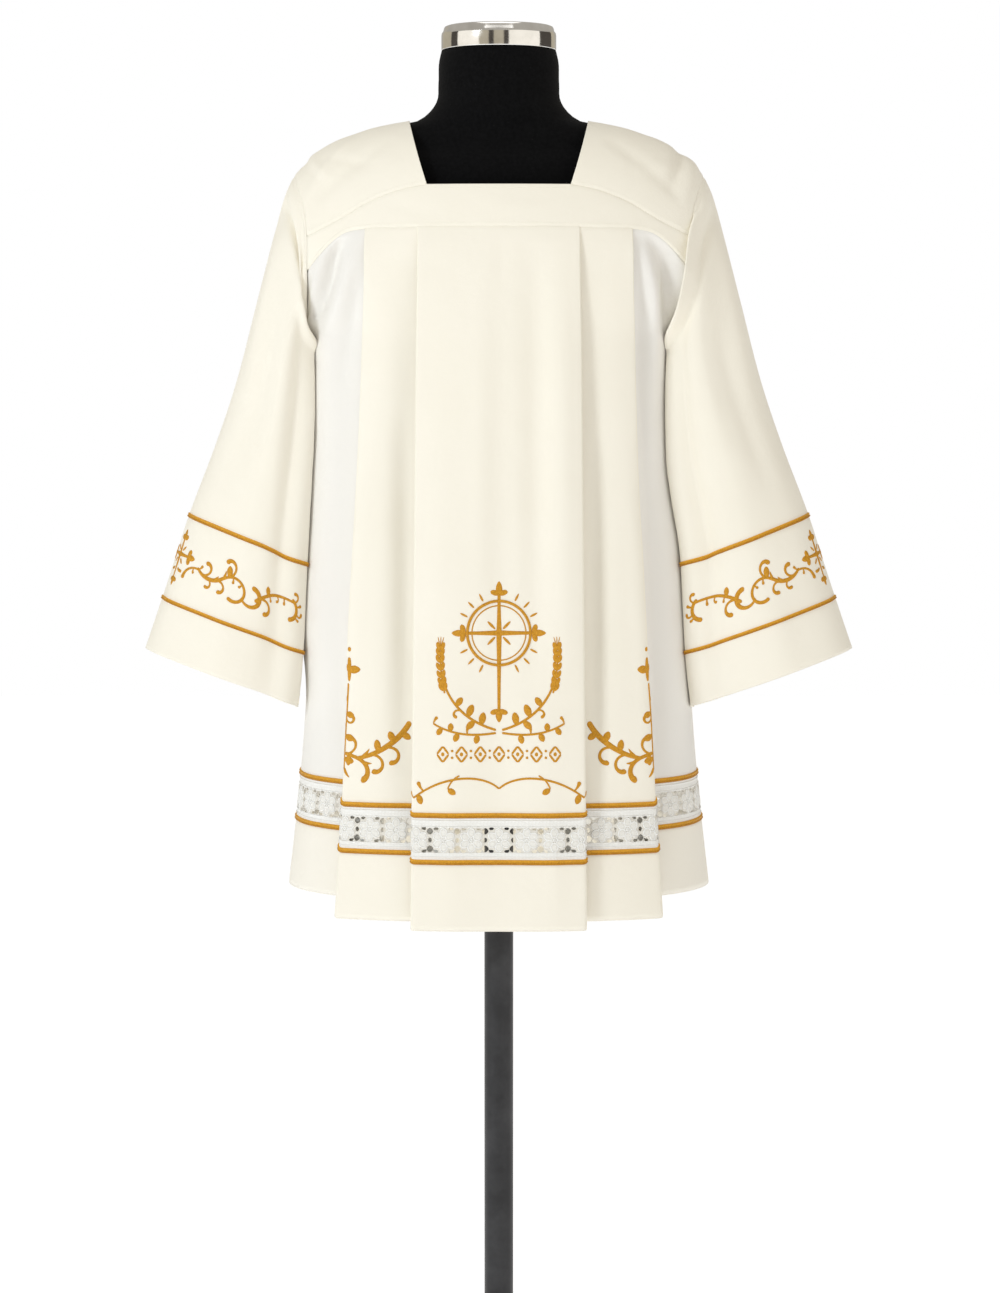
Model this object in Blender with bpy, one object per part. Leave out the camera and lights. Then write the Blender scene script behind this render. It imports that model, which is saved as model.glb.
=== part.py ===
"""A pleated surplice with braid and a lace insertion, on a limbless display form.

Lengths are in millimetres and become metres as each mesh is made. +Z is up, the front faces -Y,
and the origin is on the floor under the middle of the base plate. Left and right are the wearer's:
the wearer's left is at +X.
"""
import bmesh
import bpy
import numpy as np

MM = 0.001


def table(columns, *rows):
    """Rows of numbers under named columns, as one array for each name."""
    return dict(zip(columns.split(), np.array(rows, dtype=float).T))


# Cloth, seams and trim
WALL = 1.1
SEAM = 0.3
BRAID_WIDTH = 5.5
BRAID_FACE = 3.5
BRAID_THICKNESS = 1.6

# Heights above the hem of the two seams that the braids cover
LOWER_SEAM = 73.0
UPPER_SEAM = 122.5

# The body in plan is a superellipse: half widths and half depths of the side panels' ring
BODY_SQUARENESS = 2.4
BODY = table(
    "height half_width half_depth",
    (600, 237, 141),
    (654, 231, 138),
    (742, 221, 133),
    (841, 212, 128),
    (1000, 205, 121),
    (1100, 202, 117),
    (1252, 200, 112),
    (1321, 200, 107),
    (1368, 200, 101),
    (1413, 200, 90),
    (1430, 200, 84),
)

# The armhole is an oval in side view; its turn is 0 at the shoulder and 180 under the arm
ARMHOLE_MIDDLE = 1338.5
ARMHOLE_HALF_HEIGHT = 87.5
ARMHOLE_HALF_DEPTH = 68.0
UNDERARM = ARMHOLE_MIDDLE - ARMHOLE_HALF_HEIGHT
ARMHOLE = table(
    "turn across",
    (0, 224),
    (30, 219),
    (55, 211),
    (77.5, 207),
    (102, 206.5),
    (135, 204),
    (160, 201),
    (180, 200),
)

# The yoke band: its top edge is the neckline and then the shoulder seam
NECK_CORNER = 77.0
NECK_SPREAD = 20.5
YOKE_SIDE = 207.0
YOKE = table(
    "across top bottom",
    (0, 1412.3, 1366.8),
    (40, 1412.3, 1366.8),
    (NECK_CORNER, 1412.3, 1366.4),
    (107, 1406, 1365.8),
    (142.5, 1392, 1364.8),
    (168.3, 1377, 1359),
    (187.6, 1367.3, 1343.5),
    (YOKE_SIDE, 1358, 1321),
)
RIDGE = table(
    "across height",
    (97, 1486),
    (120, 1482),
    (140, 1477.5),
    (158, 1471.5),
    (174, 1466),
    (194.7, 1455),
    (209.6, 1444),
    (218, 1433),
    (224, 1426),
)
SHOULDER_ROWS = 13

# The pleats. Lines run from the yoke to the hem; the last one is the armhole and then the side seam
HEM = 618.0
LAYER_GAP_TOP = 2.2
LAYER_GAP_HEM = 8.0
PLEAT_LINES = table(
    "at_yoke at_hem",
    (0, 0),
    (85.5, 89),
    (51, 50),
    (142.5, 169),
    (108, 126),
    (YOKE_SIDE, YOKE_SIDE),
)
SIDE_LINE = 5
# A row for each column of points, from the middle out: it lies a share of the way from one line to
# another, on a layer counted out from the side panel, and nudged along by half a layer gap at folds
COLUMNS = table(
    "start end share layer nudge",
    (0, 1, 0, 4, 0),
    (0, 1, 1 / 3, 4, 0),
    (0, 1, 2 / 3, 4, 0),
    (1, 1, 0, 4, -1),
    (1, 1, 0, 3.5, 0),
    (1, 1, 0, 3, -1),
    (2, 2, 0, 3, 1),
    (2, 2, 0, 2.5, 0),
    (2, 2, 0, 2, 1),
    (2, 3, 1 / 4, 2, 0),
    (2, 3, 2 / 4, 2, 0),
    (2, 3, 3 / 4, 2, 0),
    (3, 3, 0, 2, -1),
    (3, 3, 0, 1.5, 0),
    (3, 3, 0, 1, -1),
    (4, 4, 0, 1, 1),
    (4, 4, 0, 0.5, 0),
    (4, 4, 0, 0, 1),
    (4, 5, 1 / 5, 0, 0),
    (4, 5, 2 / 5, 0, 0),
    (4, 5, 3 / 5, 0, 0),
    (4, 5, 4 / 5, 0, 0),
    (4, 5, 1, 0, 0),
)
# The hem of each panel hangs higher the further it lies in
HEM_RISE = table("layer rise", (0, 28), (2, 8), (4, 0))
SIDE_SEAM_RISE = 7.0
# Rows of the skirt, as shares of the way from the yoke to the lace; one lies level with the underarm
SKIRT_ROWS = (0, 0.04, 0.082, 0.125, 0.22, 0.42, 0.68, 1)
UNDERARM_SHARE = 0.105
# Soft folds down the panels: each is a bell across, as proud as its depth at three heights
SOFT_FOLDS = table(
    "across width at_yoke half_way at_hem",
    (0, 22, 0, -4, -1),
    (46, 24, 0, 3, 2),
    (188, 14, -3, 0, 0),
)

# Lace: gaps in each repeat, as heights above the hem and half diagonals
LACE_REPEAT = 29.5
LACE_GAPS = table("height radius", (87.5, 3.8), (96.5, 2.8), (106, 3.8))

# Sleeves: a row for each ring, an oval between its outer fold and its inner line.
# The rings of the two braids have rows of their own
SLEEVE_SIDES = 28
UPPER_BRAID_RING = 6
LOWER_BRAID_RING = 7
SLEEVE = table(
    "outer_x outer_y outer_z inner_x inner_y inner_z half_depth",
    (224, 0, 1426, 200, 0, UNDERARM, ARMHOLE_HALF_DEPTH),
    (234, 0, 1403, 196, -2, 1242, 69),
    (246, -2, 1360, 190, -4, 1225, 70),
    (264, -4, 1290, 185, -6, 1188, 71),
    (286, -6, 1205, 184, -8, 1132, 70),
    (310, -8, 1133, 187, -10, 1075, 69),
    (339, -10, 1056.7, 191, -12, 1000, 67),
    (369, -12, 966.7, 195, -14, 904, 64),
    (387.5, -14, 911, 204, -15, 846, 62),
)
# The inner half of an oval is this much blunter, and the sleeve hangs this far off the body
SLEEVE_INNER_POWER = 0.8
SLEEVE_CLEARANCE = 6.0
# Hollows along a sleeve: angles round it from the outer fold, forwards positive
SLEEVE_FOLDS = table(
    "angle width at_armhole half_way at_cuff",
    (62, 26, -2, -6, -3),
    (118, 24, 0, -4, -4),
    (-75, 28, 0, -6, -4),
)

# The form: rings of its torso and neck, a chrome cap, a pole and a base plate
FORM_SIDES = 28
FORM = table(
    "height half_width half_depth squareness",
    (800, 138, 82, 2.2),
    (812, 152, 95, 2.3),
    (840, 160, 102, 2.4),
    (900, 163, 104, 2.4),
    (1000, 150, 96, 2.4),
    (1060, 145, 92, 2.4),
    (1150, 158, 98, 2.4),
    (1252, 174, 98, 2.4),
    (1300, 186, 94, 2.4),
    (1340, 194, 90, 2.3),
    (1370, 202, 86, 2.2),
    (1400, 208, 82, 2.1),
    (1423, 209, 78, 1.9),
    (1442, 203, 72, 1.7),
    (1453.4, 191, 66, 1.55),
    (1464.4, 171.5, 65, 1.5),
    (1470.4, 156, 64, 1.5),
    (1476.2, 139, 64, 1.5),
    (1480.4, 118, 64, 1.6),
    (1484, 97, 66, 1.7),
    (1494, 78, 67, 1.9),
    (1505, 69, 65, 2),
    (1527, 66, 63, 2),
    (1552, 65, 62, 2),
    (1562.5, 62.5, 60, 2),
)
CAP = table("radius height", (61, 1562.8), (62.7, 1564.5), (62.7, 1581), (60, 1587), (53, 1589))
POLE_RADIUS = 16.0
BASE_RADIUS = 170.0
BASE = table(
    "radius height",
    (BASE_RADIUS - 2, 0),
    (BASE_RADIUS, 2),
    (BASE_RADIUS, 8),
    (BASE_RADIUS - 6, 12),
)
ROUND_SIDES = 32

# Finishes: base colour, roughness, metallic
FINISHES = {
    "cream_cloth": ((0.90, 0.84, 0.70), 0.85, 0.0),
    "white_lace": ((0.93, 0.92, 0.88), 0.90, 0.0),
    "gold_braid": ((0.60, 0.29, 0.07), 0.45, 0.3),
    "black_cloth": ((0.015, 0.014, 0.014), 0.80, 0.0),
    "chrome": ((0.80, 0.79, 0.77), 0.12, 1.0),
    "dark_metal": ((0.05, 0.05, 0.055), 0.40, 0.8),
}


def clear_scene():
    """Remove every object of the scene."""
    for item in list(bpy.data.objects):
        bpy.data.objects.remove(item, do_unlink=True)


def finish(name):
    """A Principled material for one node."""
    colour, roughness, metallic = FINISHES[name]
    material = bpy.data.materials.new(name)
    material.use_nodes = True
    shader = material.node_tree.nodes["Principled BSDF"]
    shader.inputs["Base Color"].default_value = (*colour, 1.0)
    shader.inputs["Roughness"].default_value = roughness
    shader.inputs["Metallic"].default_value = metallic
    return material


def smooth(at, places, values):
    """A cubic curve through the values at rising places, level past its ends."""
    at = np.clip(at, places[0], places[-1])
    slopes = np.gradient(values, places)
    before = np.clip(np.searchsorted(places, at, side="right") - 1, 0, len(places) - 2)
    span = places[before + 1] - places[before]
    t = (at - places[before]) / span
    return (
        values[before] * (2 * t**3 - 3 * t**2 + 1)
        + slopes[before] * span * (t**3 - 2 * t**2 + t)
        + values[before + 1] * (3 * t**2 - 2 * t**3)
        + slopes[before + 1] * span * (t**3 - t**2)
    )


def mix(low, high, share):
    """The value a share of the way from low to high."""
    return low + (high - low) * share


def bell(distance, width):
    """One at no distance, falling smoothly to nothing at three widths."""
    return np.exp(-((distance / width) ** 2))


def in_thirds(folds, share):
    """How proud each fold is at a share of the way down, through its three depths."""
    down = np.asarray(share)[..., None]
    first, second, third = (folds[name] for name in list(folds)[-3:])
    return np.where(down < 0.5, mix(first, second, 2 * down), mix(second, third, 2 * down - 1))


def add_solid(name, points, faces, look):
    """Link one closed body, with its faces turned outwards."""
    mesh = bpy.data.meshes.new(name)
    mesh.from_pydata((np.asarray(points) * MM).tolist(), [], faces)
    body = bmesh.new()
    body.from_mesh(mesh)
    bmesh.ops.recalc_face_normals(body, faces=body.faces)
    bmesh.ops.triangulate(body, faces=body.faces)
    body.to_mesh(mesh)
    body.free()
    mesh.materials.append(finish(look))
    item = bpy.data.objects.new(name, mesh)
    bpy.context.scene.collection.objects.link(item)
    return item


def sheet_faces(rows, columns, round_about=False):
    """Quads of a grid of points; a tube's last column joins its first."""
    index = np.arange(rows * columns).reshape(rows, columns)
    beside = np.roll(index, -1, axis=1)
    quads = np.stack([index[:-1], beside[:-1], beside[1:], index[1:]], axis=-1)
    quads = quads if round_about else quads[:, :-1]
    return [tuple(int(i) for i in quad) for quad in quads.reshape(-1, 4)]


def add_wall(name, outside, inside, faces, look):
    """Close a wall: the outside faces, the same ones inside, and a rim along each free edge."""
    outside = outside.reshape(-1, 3)
    inside = inside.reshape(-1, 3)
    count = len(outside)
    edges = {(face[i - 1], face[i]) for face in faces for i in range(len(face))}
    free = [(a, b) for a, b in sorted(edges) if (b, a) not in edges]
    rim = [(b, a, a + count, b + count) for a, b in free]
    back = [tuple(i + count for i in reversed(face)) for face in faces]
    return add_solid(name, np.vstack([outside, inside]), faces + back + rim, look)


def facing(points, round_about=False):
    """Unit normals of a grid of points, from its steps along and across."""
    if round_about:
        across = np.roll(points, -1, axis=1) - np.roll(points, 1, axis=1)
    else:
        across = np.gradient(points, axis=1)
    along = np.gradient(points, axis=0)
    normal = np.cross(across, along)
    return normal / np.linalg.norm(normal, axis=-1, keepdims=True)


def plan_facing(points):
    """Level normals of rows of points, lengthened at corners so that a wall keeps its thickness."""
    steps = np.diff(points[..., :2], axis=1)
    steps /= np.linalg.norm(steps, axis=-1, keepdims=True)
    before = np.concatenate([steps[:, :1], steps], axis=1)
    after = np.concatenate([steps, steps[:, -1:]], axis=1)
    heading = before + after
    heading /= np.linalg.norm(heading, axis=-1, keepdims=True)
    stretch = 1 / np.sum(heading * after, axis=-1)
    return np.stack([heading[..., 1] * stretch, -heading[..., 0] * stretch, 0 * stretch], axis=-1)


# The body


def armhole(turn):
    """A point of the armhole seam at +X, from its turn in radians."""
    across = smooth(np.degrees(np.abs(turn)), ARMHOLE["turn"], ARMHOLE["across"])
    ahead = -ARMHOLE_HALF_DEPTH * np.sin(turn)
    height = ARMHOLE_MIDDLE + ARMHOLE_HALF_HEIGHT * np.cos(turn)
    return across, ahead, height


def armhole_turn(height):
    """The turn of the armhole seam at a height, in radians."""
    return np.arccos(np.clip((height - ARMHOLE_MIDDLE) / ARMHOLE_HALF_HEIGHT, -1, 1))


def ring_sizes(height):
    """Half width and half depth of the body at a height; beside the armhole it meets the seam."""
    depth = smooth(height, BODY["height"], BODY["half_depth"])
    below = smooth(height, BODY["height"], BODY["half_width"])
    across, ahead, _ = armhole(armhole_turn(height))
    room = 1 - (np.abs(ahead) / depth) ** BODY_SQUARENESS
    beside = across / room ** (1 / BODY_SQUARENESS)
    return np.where(height > UNDERARM, beside, below), depth


def ring_angle(across, height):
    """The angle from the middle of the front to a distance across, on the ring at a height."""
    width, _ = ring_sizes(height)
    share = np.clip(np.abs(across) / width, 0, 1)
    return np.arcsin(share ** (BODY_SQUARENESS / 2))


def ring_point(angle, height, proud):
    """A point of the front at an angle from its middle, moved out of the ring by proud."""
    width, depth = ring_sizes(height)
    across = np.sin(angle) ** (2 / BODY_SQUARENESS)
    ahead = np.abs(np.cos(angle)) ** (2 / BODY_SQUARENESS)
    out_x = across ** (BODY_SQUARENESS - 1) / width
    out_y = -(ahead ** (BODY_SQUARENESS - 1)) / depth
    length = np.hypot(out_x, out_y)
    x = width * across + proud * out_x / length
    y = -depth * ahead + proud * out_y / length
    return np.stack([x, y, height + 0 * x], axis=-1)


def yoke_edge(across, edge):
    """Height of the yoke's top or bottom edge at a distance across."""
    return np.interp(np.abs(across), YOKE["across"], YOKE[edge])


def mirrored(half):
    """Rows of points from the middle out to +X, joined to their mirror image at -X."""
    other = half[:, :0:-1] * (-1, 1, 1)
    return np.concatenate([other, half], axis=1)


def turned_back(points):
    """The same points on the back."""
    return points * (1, -1, 1)


# The pleated skirt, its lace, hem and braids


def column_tops():
    """Height of the yoke seam at each column of one half."""
    lines = PLEAT_LINES["at_yoke"]
    start, end = (COLUMNS[name].astype(int) for name in ("start", "end"))
    return yoke_edge(mix(lines[start], lines[end], COLUMNS["share"]), "bottom") - SEAM / 2


def column_hems():
    """Height of the hem at each column of one half."""
    panel = HEM + np.interp(COLUMNS["layer"], HEM_RISE["layer"], HEM_RISE["rise"])
    return panel + SIDE_SEAM_RISE * COLUMNS["share"] * (COLUMNS["end"] == SIDE_LINE)


def line_across(line, fall, height):
    """Distance across of pleat lines; the side line follows the armhole and then the side seam."""
    plain = mix(PLEAT_LINES["at_yoke"][line], PLEAT_LINES["at_hem"][line], fall)
    width, _ = ring_sizes(height)
    seam, _, _ = armhole(armhole_turn(height))
    side = np.where(height > UNDERARM, seam, width)
    return np.where(line == SIDE_LINE, side, plain)


def pleats(height):
    """Middle of the cloth's wall on one half, for rows of heights of every column."""
    fall = (column_tops() - height) / (column_tops() - column_hems())
    gap = mix(LAYER_GAP_TOP, LAYER_GAP_HEM, fall)
    start, end = (COLUMNS[name].astype(int) for name in ("start", "end"))
    nudge = COLUMNS["nudge"] * gap / 2
    first = line_across(start, fall, height) + nudge
    last = line_across(end, fall, height) + nudge
    by_width = ring_angle(mix(first, last, COLUMNS["share"]), height)
    by_angle = mix(ring_angle(first, height), ring_angle(last, height), COLUMNS["share"])
    angle = mix(by_width, by_angle, np.clip(fall / UNDERARM_SHARE, 0, 1))
    across = np.sin(angle) ** (2 / BODY_SQUARENESS) * ring_sizes(height)[0]
    shape = bell(across[..., None] - SOFT_FOLDS["across"], SOFT_FOLDS["width"])
    soft = np.sum(shape * in_thirds(SOFT_FOLDS, fall), axis=-1)
    points = ring_point(angle, height, COLUMNS["layer"] * gap + soft)
    points[..., 1] -= SEAM / 2
    return mirrored(points)


def skirt_heights():
    """Heights of the skirt's rows at each column, from the yoke down to the lace."""
    last = column_hems() + UPPER_SEAM + SEAM / 2
    return mix(column_tops(), last, np.array(SKIRT_ROWS)[:, None])


def band_heights(low, high):
    """Heights of a band's two edges above the hem at each column, the lower one last."""
    return column_hems() + np.array([[high], [low]])


def band_wall(heights, out_from, out_to):
    """Outside and inside points of a band, between two distances out of the cloth's middle."""
    points = pleats(heights)
    normal = plan_facing(points)
    return points + out_to * normal, points + out_from * normal


def add_band(name, heights, look, place):
    """A length of cloth that follows the pleats."""
    outside, inside = band_wall(heights, -WALL / 2, WALL / 2)
    rows, columns = outside.shape[:2]
    add_wall(name, place(outside), place(inside), sheet_faces(rows, columns), look)


def add_skirt_braid(name, seam, place):
    """A braid over a seam, wide where it lies on the cloth and narrower at its face."""
    base = WALL / 2 + SEAM
    _, inside = band_wall(band_heights(seam - BRAID_WIDTH / 2, seam + BRAID_WIDTH / 2), base, base)
    face = base + BRAID_THICKNESS
    outside, _ = band_wall(band_heights(seam - BRAID_FACE / 2, seam + BRAID_FACE / 2), face, face)
    add_wall(name, place(outside), place(inside), sheet_faces(2, outside.shape[1]), "gold_braid")


def lace_cells():
    """Columns whose next column lies on the same panel, so that a cut repeat fits between them."""
    half = COLUMNS["layer"]
    layers = np.concatenate([half[:0:-1], half])
    return np.flatnonzero((layers[:-1] == layers[1:]) & (layers[:-1] % 2 == 0))


def repeat_faces(corners, gaps):
    """Triangles of one lace repeat round its gaps, each gap a diamond of four points."""
    low_left, low_right, high_left, high_right = corners
    faces = [(low_left, low_right, gaps[0]["low"]), (high_left, gaps[2]["high"], high_right)]
    for side, low, high in (("left", low_left, high_left), ("right", low_right, high_right)):
        tips = [gap[side] for gap in gaps]
        fan = [(low, gaps[0]["low"], tips[0]), (low, tips[0], tips[1]), (low, tips[1], high)]
        fan += [(high, tips[1], tips[2]), (high, tips[2], gaps[2]["high"])]
        for under, over in ((0, 1), (1, 2)):
            fan.append((tips[under], gaps[under]["high"], gaps[over]["low"]))
            fan.append((tips[under], gaps[over]["low"], tips[over]))
        faces += fan if side == "left" else [tuple(reversed(face)) for face in fan]
    return faces


def add_lace(name, place):
    """The lace insertion: plain in the folds, and cut through in each repeat of the panels."""
    low, high = LOWER_SEAM + SEAM / 2, UPPER_SEAM - SEAM / 2
    outside, inside = band_wall(band_heights(low, high), -WALL / 2, WALL / 2)
    columns = outside.shape[1]
    cut = set(lace_cells().tolist())
    grid = np.arange(2 * columns).reshape(2, columns)
    faces = [
        (int(grid[1, i]), int(grid[1, i + 1]), int(grid[0, i + 1]), int(grid[0, i]))
        for i in range(columns - 1)
        if i not in cut
    ]
    spots = []
    for cell in sorted(cut):
        gaps = []
        for height, radius in zip(LACE_GAPS["height"], LACE_GAPS["radius"]):
            gap = {}
            across, up = radius / LACE_REPEAT, radius / (high - low)
            middle = (height - low) / (high - low)
            tips = {"left": (-across, 0), "low": (0, -up), "right": (across, 0), "high": (0, up)}
            for tip, (aside, above) in tips.items():
                gap[tip] = 2 * columns + len(spots)
                spots.append((cell, 0.5 + aside, middle + above))
            gaps.append(gap)
        corners = (grid[1, cell], grid[1, cell + 1], grid[0, cell], grid[0, cell + 1])
        faces += repeat_faces([int(i) for i in corners], gaps)
    cell, aside, up = np.array(spots).T
    cell = cell.astype(int)

    def with_spots(points):
        """A wall's grid points, then the gaps' points between them."""
        low_row = mix(points[1, cell], points[1, cell + 1], aside[:, None])
        high_row = mix(points[0, cell], points[0, cell + 1], aside[:, None])
        return np.vstack([points.reshape(-1, 3), mix(low_row, high_row, up[:, None])])

    add_wall(name, with_spots(place(outside)), with_spots(place(inside)), faces, "white_lace")


def add_skirt(side, place):
    """The pleated cloth, lace, hem band and braids of the front or the back."""
    add_band(f"{side}_skirt", skirt_heights(), "cream_cloth", place)
    add_lace(f"lace_{side}", place)
    add_band(f"hem_{side}", band_heights(0, LOWER_SEAM - SEAM / 2), "cream_cloth", place)
    add_skirt_braid(f"braid_upper_{side}", UPPER_SEAM, place)
    add_skirt_braid(f"braid_lower_{side}", LOWER_SEAM, place)


# The yoke and the shoulders


def yoke_proud(across):
    """How far the yoke stands out of the ring, so that it covers the tops of the pleats."""
    share = np.abs(across) / YOKE_SIDE
    return 4 * LAYER_GAP_TOP * (1 - share**2 * (3 - 2 * share))


def add_yoke(name, place):
    """The yoke band, from the neckline and the shoulder seams down to the pleats."""
    top = YOKE["top"] - SEAM * (YOKE["across"] >= NECK_CORNER)
    bottom = YOKE["bottom"] + SEAM / 2
    height = mix(top, bottom, np.linspace(0, 1, 3)[:, None])
    across = YOKE["across"] + 0 * height
    across[:, -1] = armhole(armhole_turn(height[:, -1]))[0]
    middle = mirrored(ring_point(ring_angle(across, height), height, yoke_proud(across)))
    normal = plan_facing(middle)
    faces = sheet_faces(*middle.shape[:2])
    outside, inside = middle + normal * WALL / 2, middle - normal * WALL / 2
    add_wall(name, place(outside), place(inside), faces, "cream_cloth")


def add_shoulder(name, side):
    """A shoulder piece: arches over the ridge, from the neckline's arch to the armhole's."""
    seam_across = YOKE["across"][YOKE["across"] >= NECK_CORNER]
    seam_height = yoke_edge(seam_across, "top") + SEAM
    share = (seam_across - NECK_CORNER) / (YOKE_SIDE - NECK_CORNER)
    seam_angle = ring_angle(seam_across, seam_height)
    seam_depth = -ring_point(seam_angle, seam_height, yoke_proud(seam_across))[..., 1]
    last_turn = armhole_turn(seam_height[-1])
    way = np.linspace(-1, 1, SHOULDER_ROWS)[:, None]
    turn = way * last_turn
    outwards = armhole(turn)[0] - armhole(last_turn)[0]
    across = seam_across + mix(NECK_SPREAD * (1 - way**2), outwards, share)
    ridge_across = seam_across + mix(NECK_SPREAD, armhole(0.0)[0] - armhole(last_turn)[0], share)
    ridge = smooth(ridge_across, RIDGE["across"], RIDGE["height"])
    fall = (1 - np.cos(turn)) / (1 - np.cos(last_turn))
    ahead = -seam_depth * np.sin(turn) / np.sin(last_turn)
    middle = np.stack([side * across, ahead, ridge - (ridge - seam_height) * fall], axis=-1)
    normal = facing(middle) * WALL / 2
    add_wall(name, middle + normal, middle - normal, sheet_faces(*middle.shape[:2]), "cream_cloth")


# The sleeves


def beside_body(points):
    """Distance across to the side of the body, level with each point."""
    depth = smooth(points[..., 2], BODY["height"], BODY["half_depth"])
    width = smooth(points[..., 2], BODY["height"], BODY["half_width"])
    room = np.clip(1 - (np.abs(points[..., 1]) / depth) ** BODY_SQUARENESS, 0, 1)
    return width * room ** (1 / BODY_SQUARENESS)


def sleeve_middle():
    """Middle of a sleeve's wall at +X: a row for each ring, from the outer fold round the front."""
    angle = np.arange(SLEEVE_SIDES) * 2 * np.pi / SLEEVE_SIDES
    outer = np.stack([SLEEVE["outer_x"], SLEEVE["outer_y"], SLEEVE["outer_z"]], axis=-1)
    inner = np.stack([SLEEVE["inner_x"], SLEEVE["inner_y"], SLEEVE["inner_z"]], axis=-1)
    centre = (outer + inner)[:, None] / 2
    reach = (outer - inner)[:, None] / 2
    forwards = SLEEVE["half_depth"][:, None, None] * np.array((0, -1, 0))
    blunt = np.where(np.cos(angle) < 0, SLEEVE_INNER_POWER, 1)
    cosine = np.sign(np.cos(angle)) * np.abs(np.cos(angle)) ** blunt
    rings = centre + reach * cosine[:, None] + forwards * np.sin(angle)[:, None]
    turn = np.where(angle > np.pi, 2 * np.pi - angle, angle)
    seam = np.stack(armhole(turn), axis=-1)
    seam[:, 1] *= np.sign(np.pi - angle)
    down = np.linspace(0, 1, len(rings))
    rings += (seam - rings[0]) * ((1 - down) ** 3)[:, None, None]
    rings[0, :, 0] += SEAM + WALL * (1 - np.cos(turn)) / 4
    off = (np.degrees(angle)[:, None] - SLEEVE_FOLDS["angle"] + 180) % 360 - 180
    shape = bell(off, SLEEVE_FOLDS["width"])
    deep = np.einsum("af,rf->ra", shape, in_thirds(SLEEVE_FOLDS, down))
    rings[1:] += (facing(rings, round_about=True) * deep[..., None])[1:]
    rings[1:, :, 0] = np.maximum(rings[1:, :, 0], beside_body(rings[1:]) + SLEEVE_CLEARANCE)
    return rings


def add_sleeve(name, side, middle):
    """One sleeve, open at the armhole and at the cuff."""
    normal = facing(middle, round_about=True) * WALL / 2
    mirror = (side, 1, 1)
    faces = sheet_faces(*middle.shape[:2], round_about=True)
    add_wall(name, (middle + normal) * mirror, (middle - normal) * mirror, faces, "cream_cloth")


def add_sleeve_braid(name, side, middle, ring):
    """A braid round a sleeve, centred on one of its rings."""
    normal = facing(middle, round_about=True)
    step = np.linalg.norm(middle[ring] - middle[ring - 1], axis=-1).mean()

    def loop(out, aside):
        """A ring of points off the sleeve's ruled wall, out of it and up or down it."""
        wall = middle + normal * (WALL / 2 + out)
        beside = min(ring + (1 if aside > 0 else -1), len(wall) - 1)
        return mix(wall[ring], wall[beside], abs(aside) / step)

    base = [loop(SEAM, aside) for aside in (-BRAID_WIDTH / 2, BRAID_WIDTH / 2)]
    face = [loop(SEAM + BRAID_THICKNESS, aside) for aside in (-BRAID_FACE / 2, BRAID_FACE / 2)]
    mirror = (side, 1, 1)
    faces = sheet_faces(2, SLEEVE_SIDES, round_about=True)
    add_wall(name, np.array(face) * mirror, np.array(base) * mirror, faces, "gold_braid")


# The form


def add_rings(name, rings, look):
    """A closed body through rings of points, with a flat face at each end."""
    count, sides = rings.shape[:2]
    faces = sheet_faces(count, sides, round_about=True)
    faces.append(tuple(range(sides))[::-1])
    faces.append(tuple(range((count - 1) * sides, count * sides)))
    add_solid(name, rings.reshape(-1, 3), faces, look)


def add_turned(name, profile, look):
    """A round body from a profile of radii and heights."""
    angle = np.arange(ROUND_SIDES) * 2 * np.pi / ROUND_SIDES
    circle = np.stack([np.cos(angle), np.sin(angle), 0 * angle], axis=-1)
    rings = profile["radius"][:, None, None] * circle + profile["height"][:, None, None] * (0, 0, 1)
    add_rings(name, rings, look)


def add_form():
    """The torso with its neck, the cap, the pole and the base plate."""
    angle = np.arange(FORM_SIDES) * 2 * np.pi / FORM_SIDES
    power = 2 / FORM["squareness"][:, None]
    cosine, sine = np.cos(angle), np.sin(angle)
    x = FORM["half_width"][:, None] * np.sign(cosine) * np.abs(cosine) ** power
    y = FORM["half_depth"][:, None] * np.sign(sine) * np.abs(sine) ** power
    add_rings("form_torso", np.stack([x, y, FORM["height"][:, None] + 0 * x], axis=-1), "black_cloth")
    add_turned("neck_cap", CAP, "chrome")
    foot, head = BASE["height"][-1] + SEAM, FORM["height"][0] - SEAM
    pole = table("radius height", (POLE_RADIUS, foot), (POLE_RADIUS, head))
    add_turned("form_pole", pole, "dark_metal")
    add_turned("form_base", BASE, "dark_metal")


def build():
    """Every piece of the surplice, and the form that holds it."""
    clear_scene()
    for side, place in (("front", lambda points: points), ("back", turned_back)):
        add_yoke(f"yoke_{side}", place)
        add_skirt(side, place)
    middle = sleeve_middle()
    for side, sign in (("left", 1), ("right", -1)):
        add_shoulder(f"shoulder_{side}", sign)
        add_sleeve(f"sleeve_{side}", sign, middle)
        add_sleeve_braid(f"sleeve_braid_upper_{side}", sign, middle, UPPER_BRAID_RING)
        add_sleeve_braid(f"sleeve_braid_lower_{side}", sign, middle, LOWER_BRAID_RING)
    add_form()


build()
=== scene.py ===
"""The looks of a pleated surplice with braid and a lace insertion, on a limbless display form.

Lengths are in millimetres and become metres as each mesh is made. +Z is up and the front faces -Y.
Left and right are the wearer's: the wearer's left is at +X. Cloth is a thin closed wall round a
surface worked out on a grid, with its own folds and creases.
"""

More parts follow.
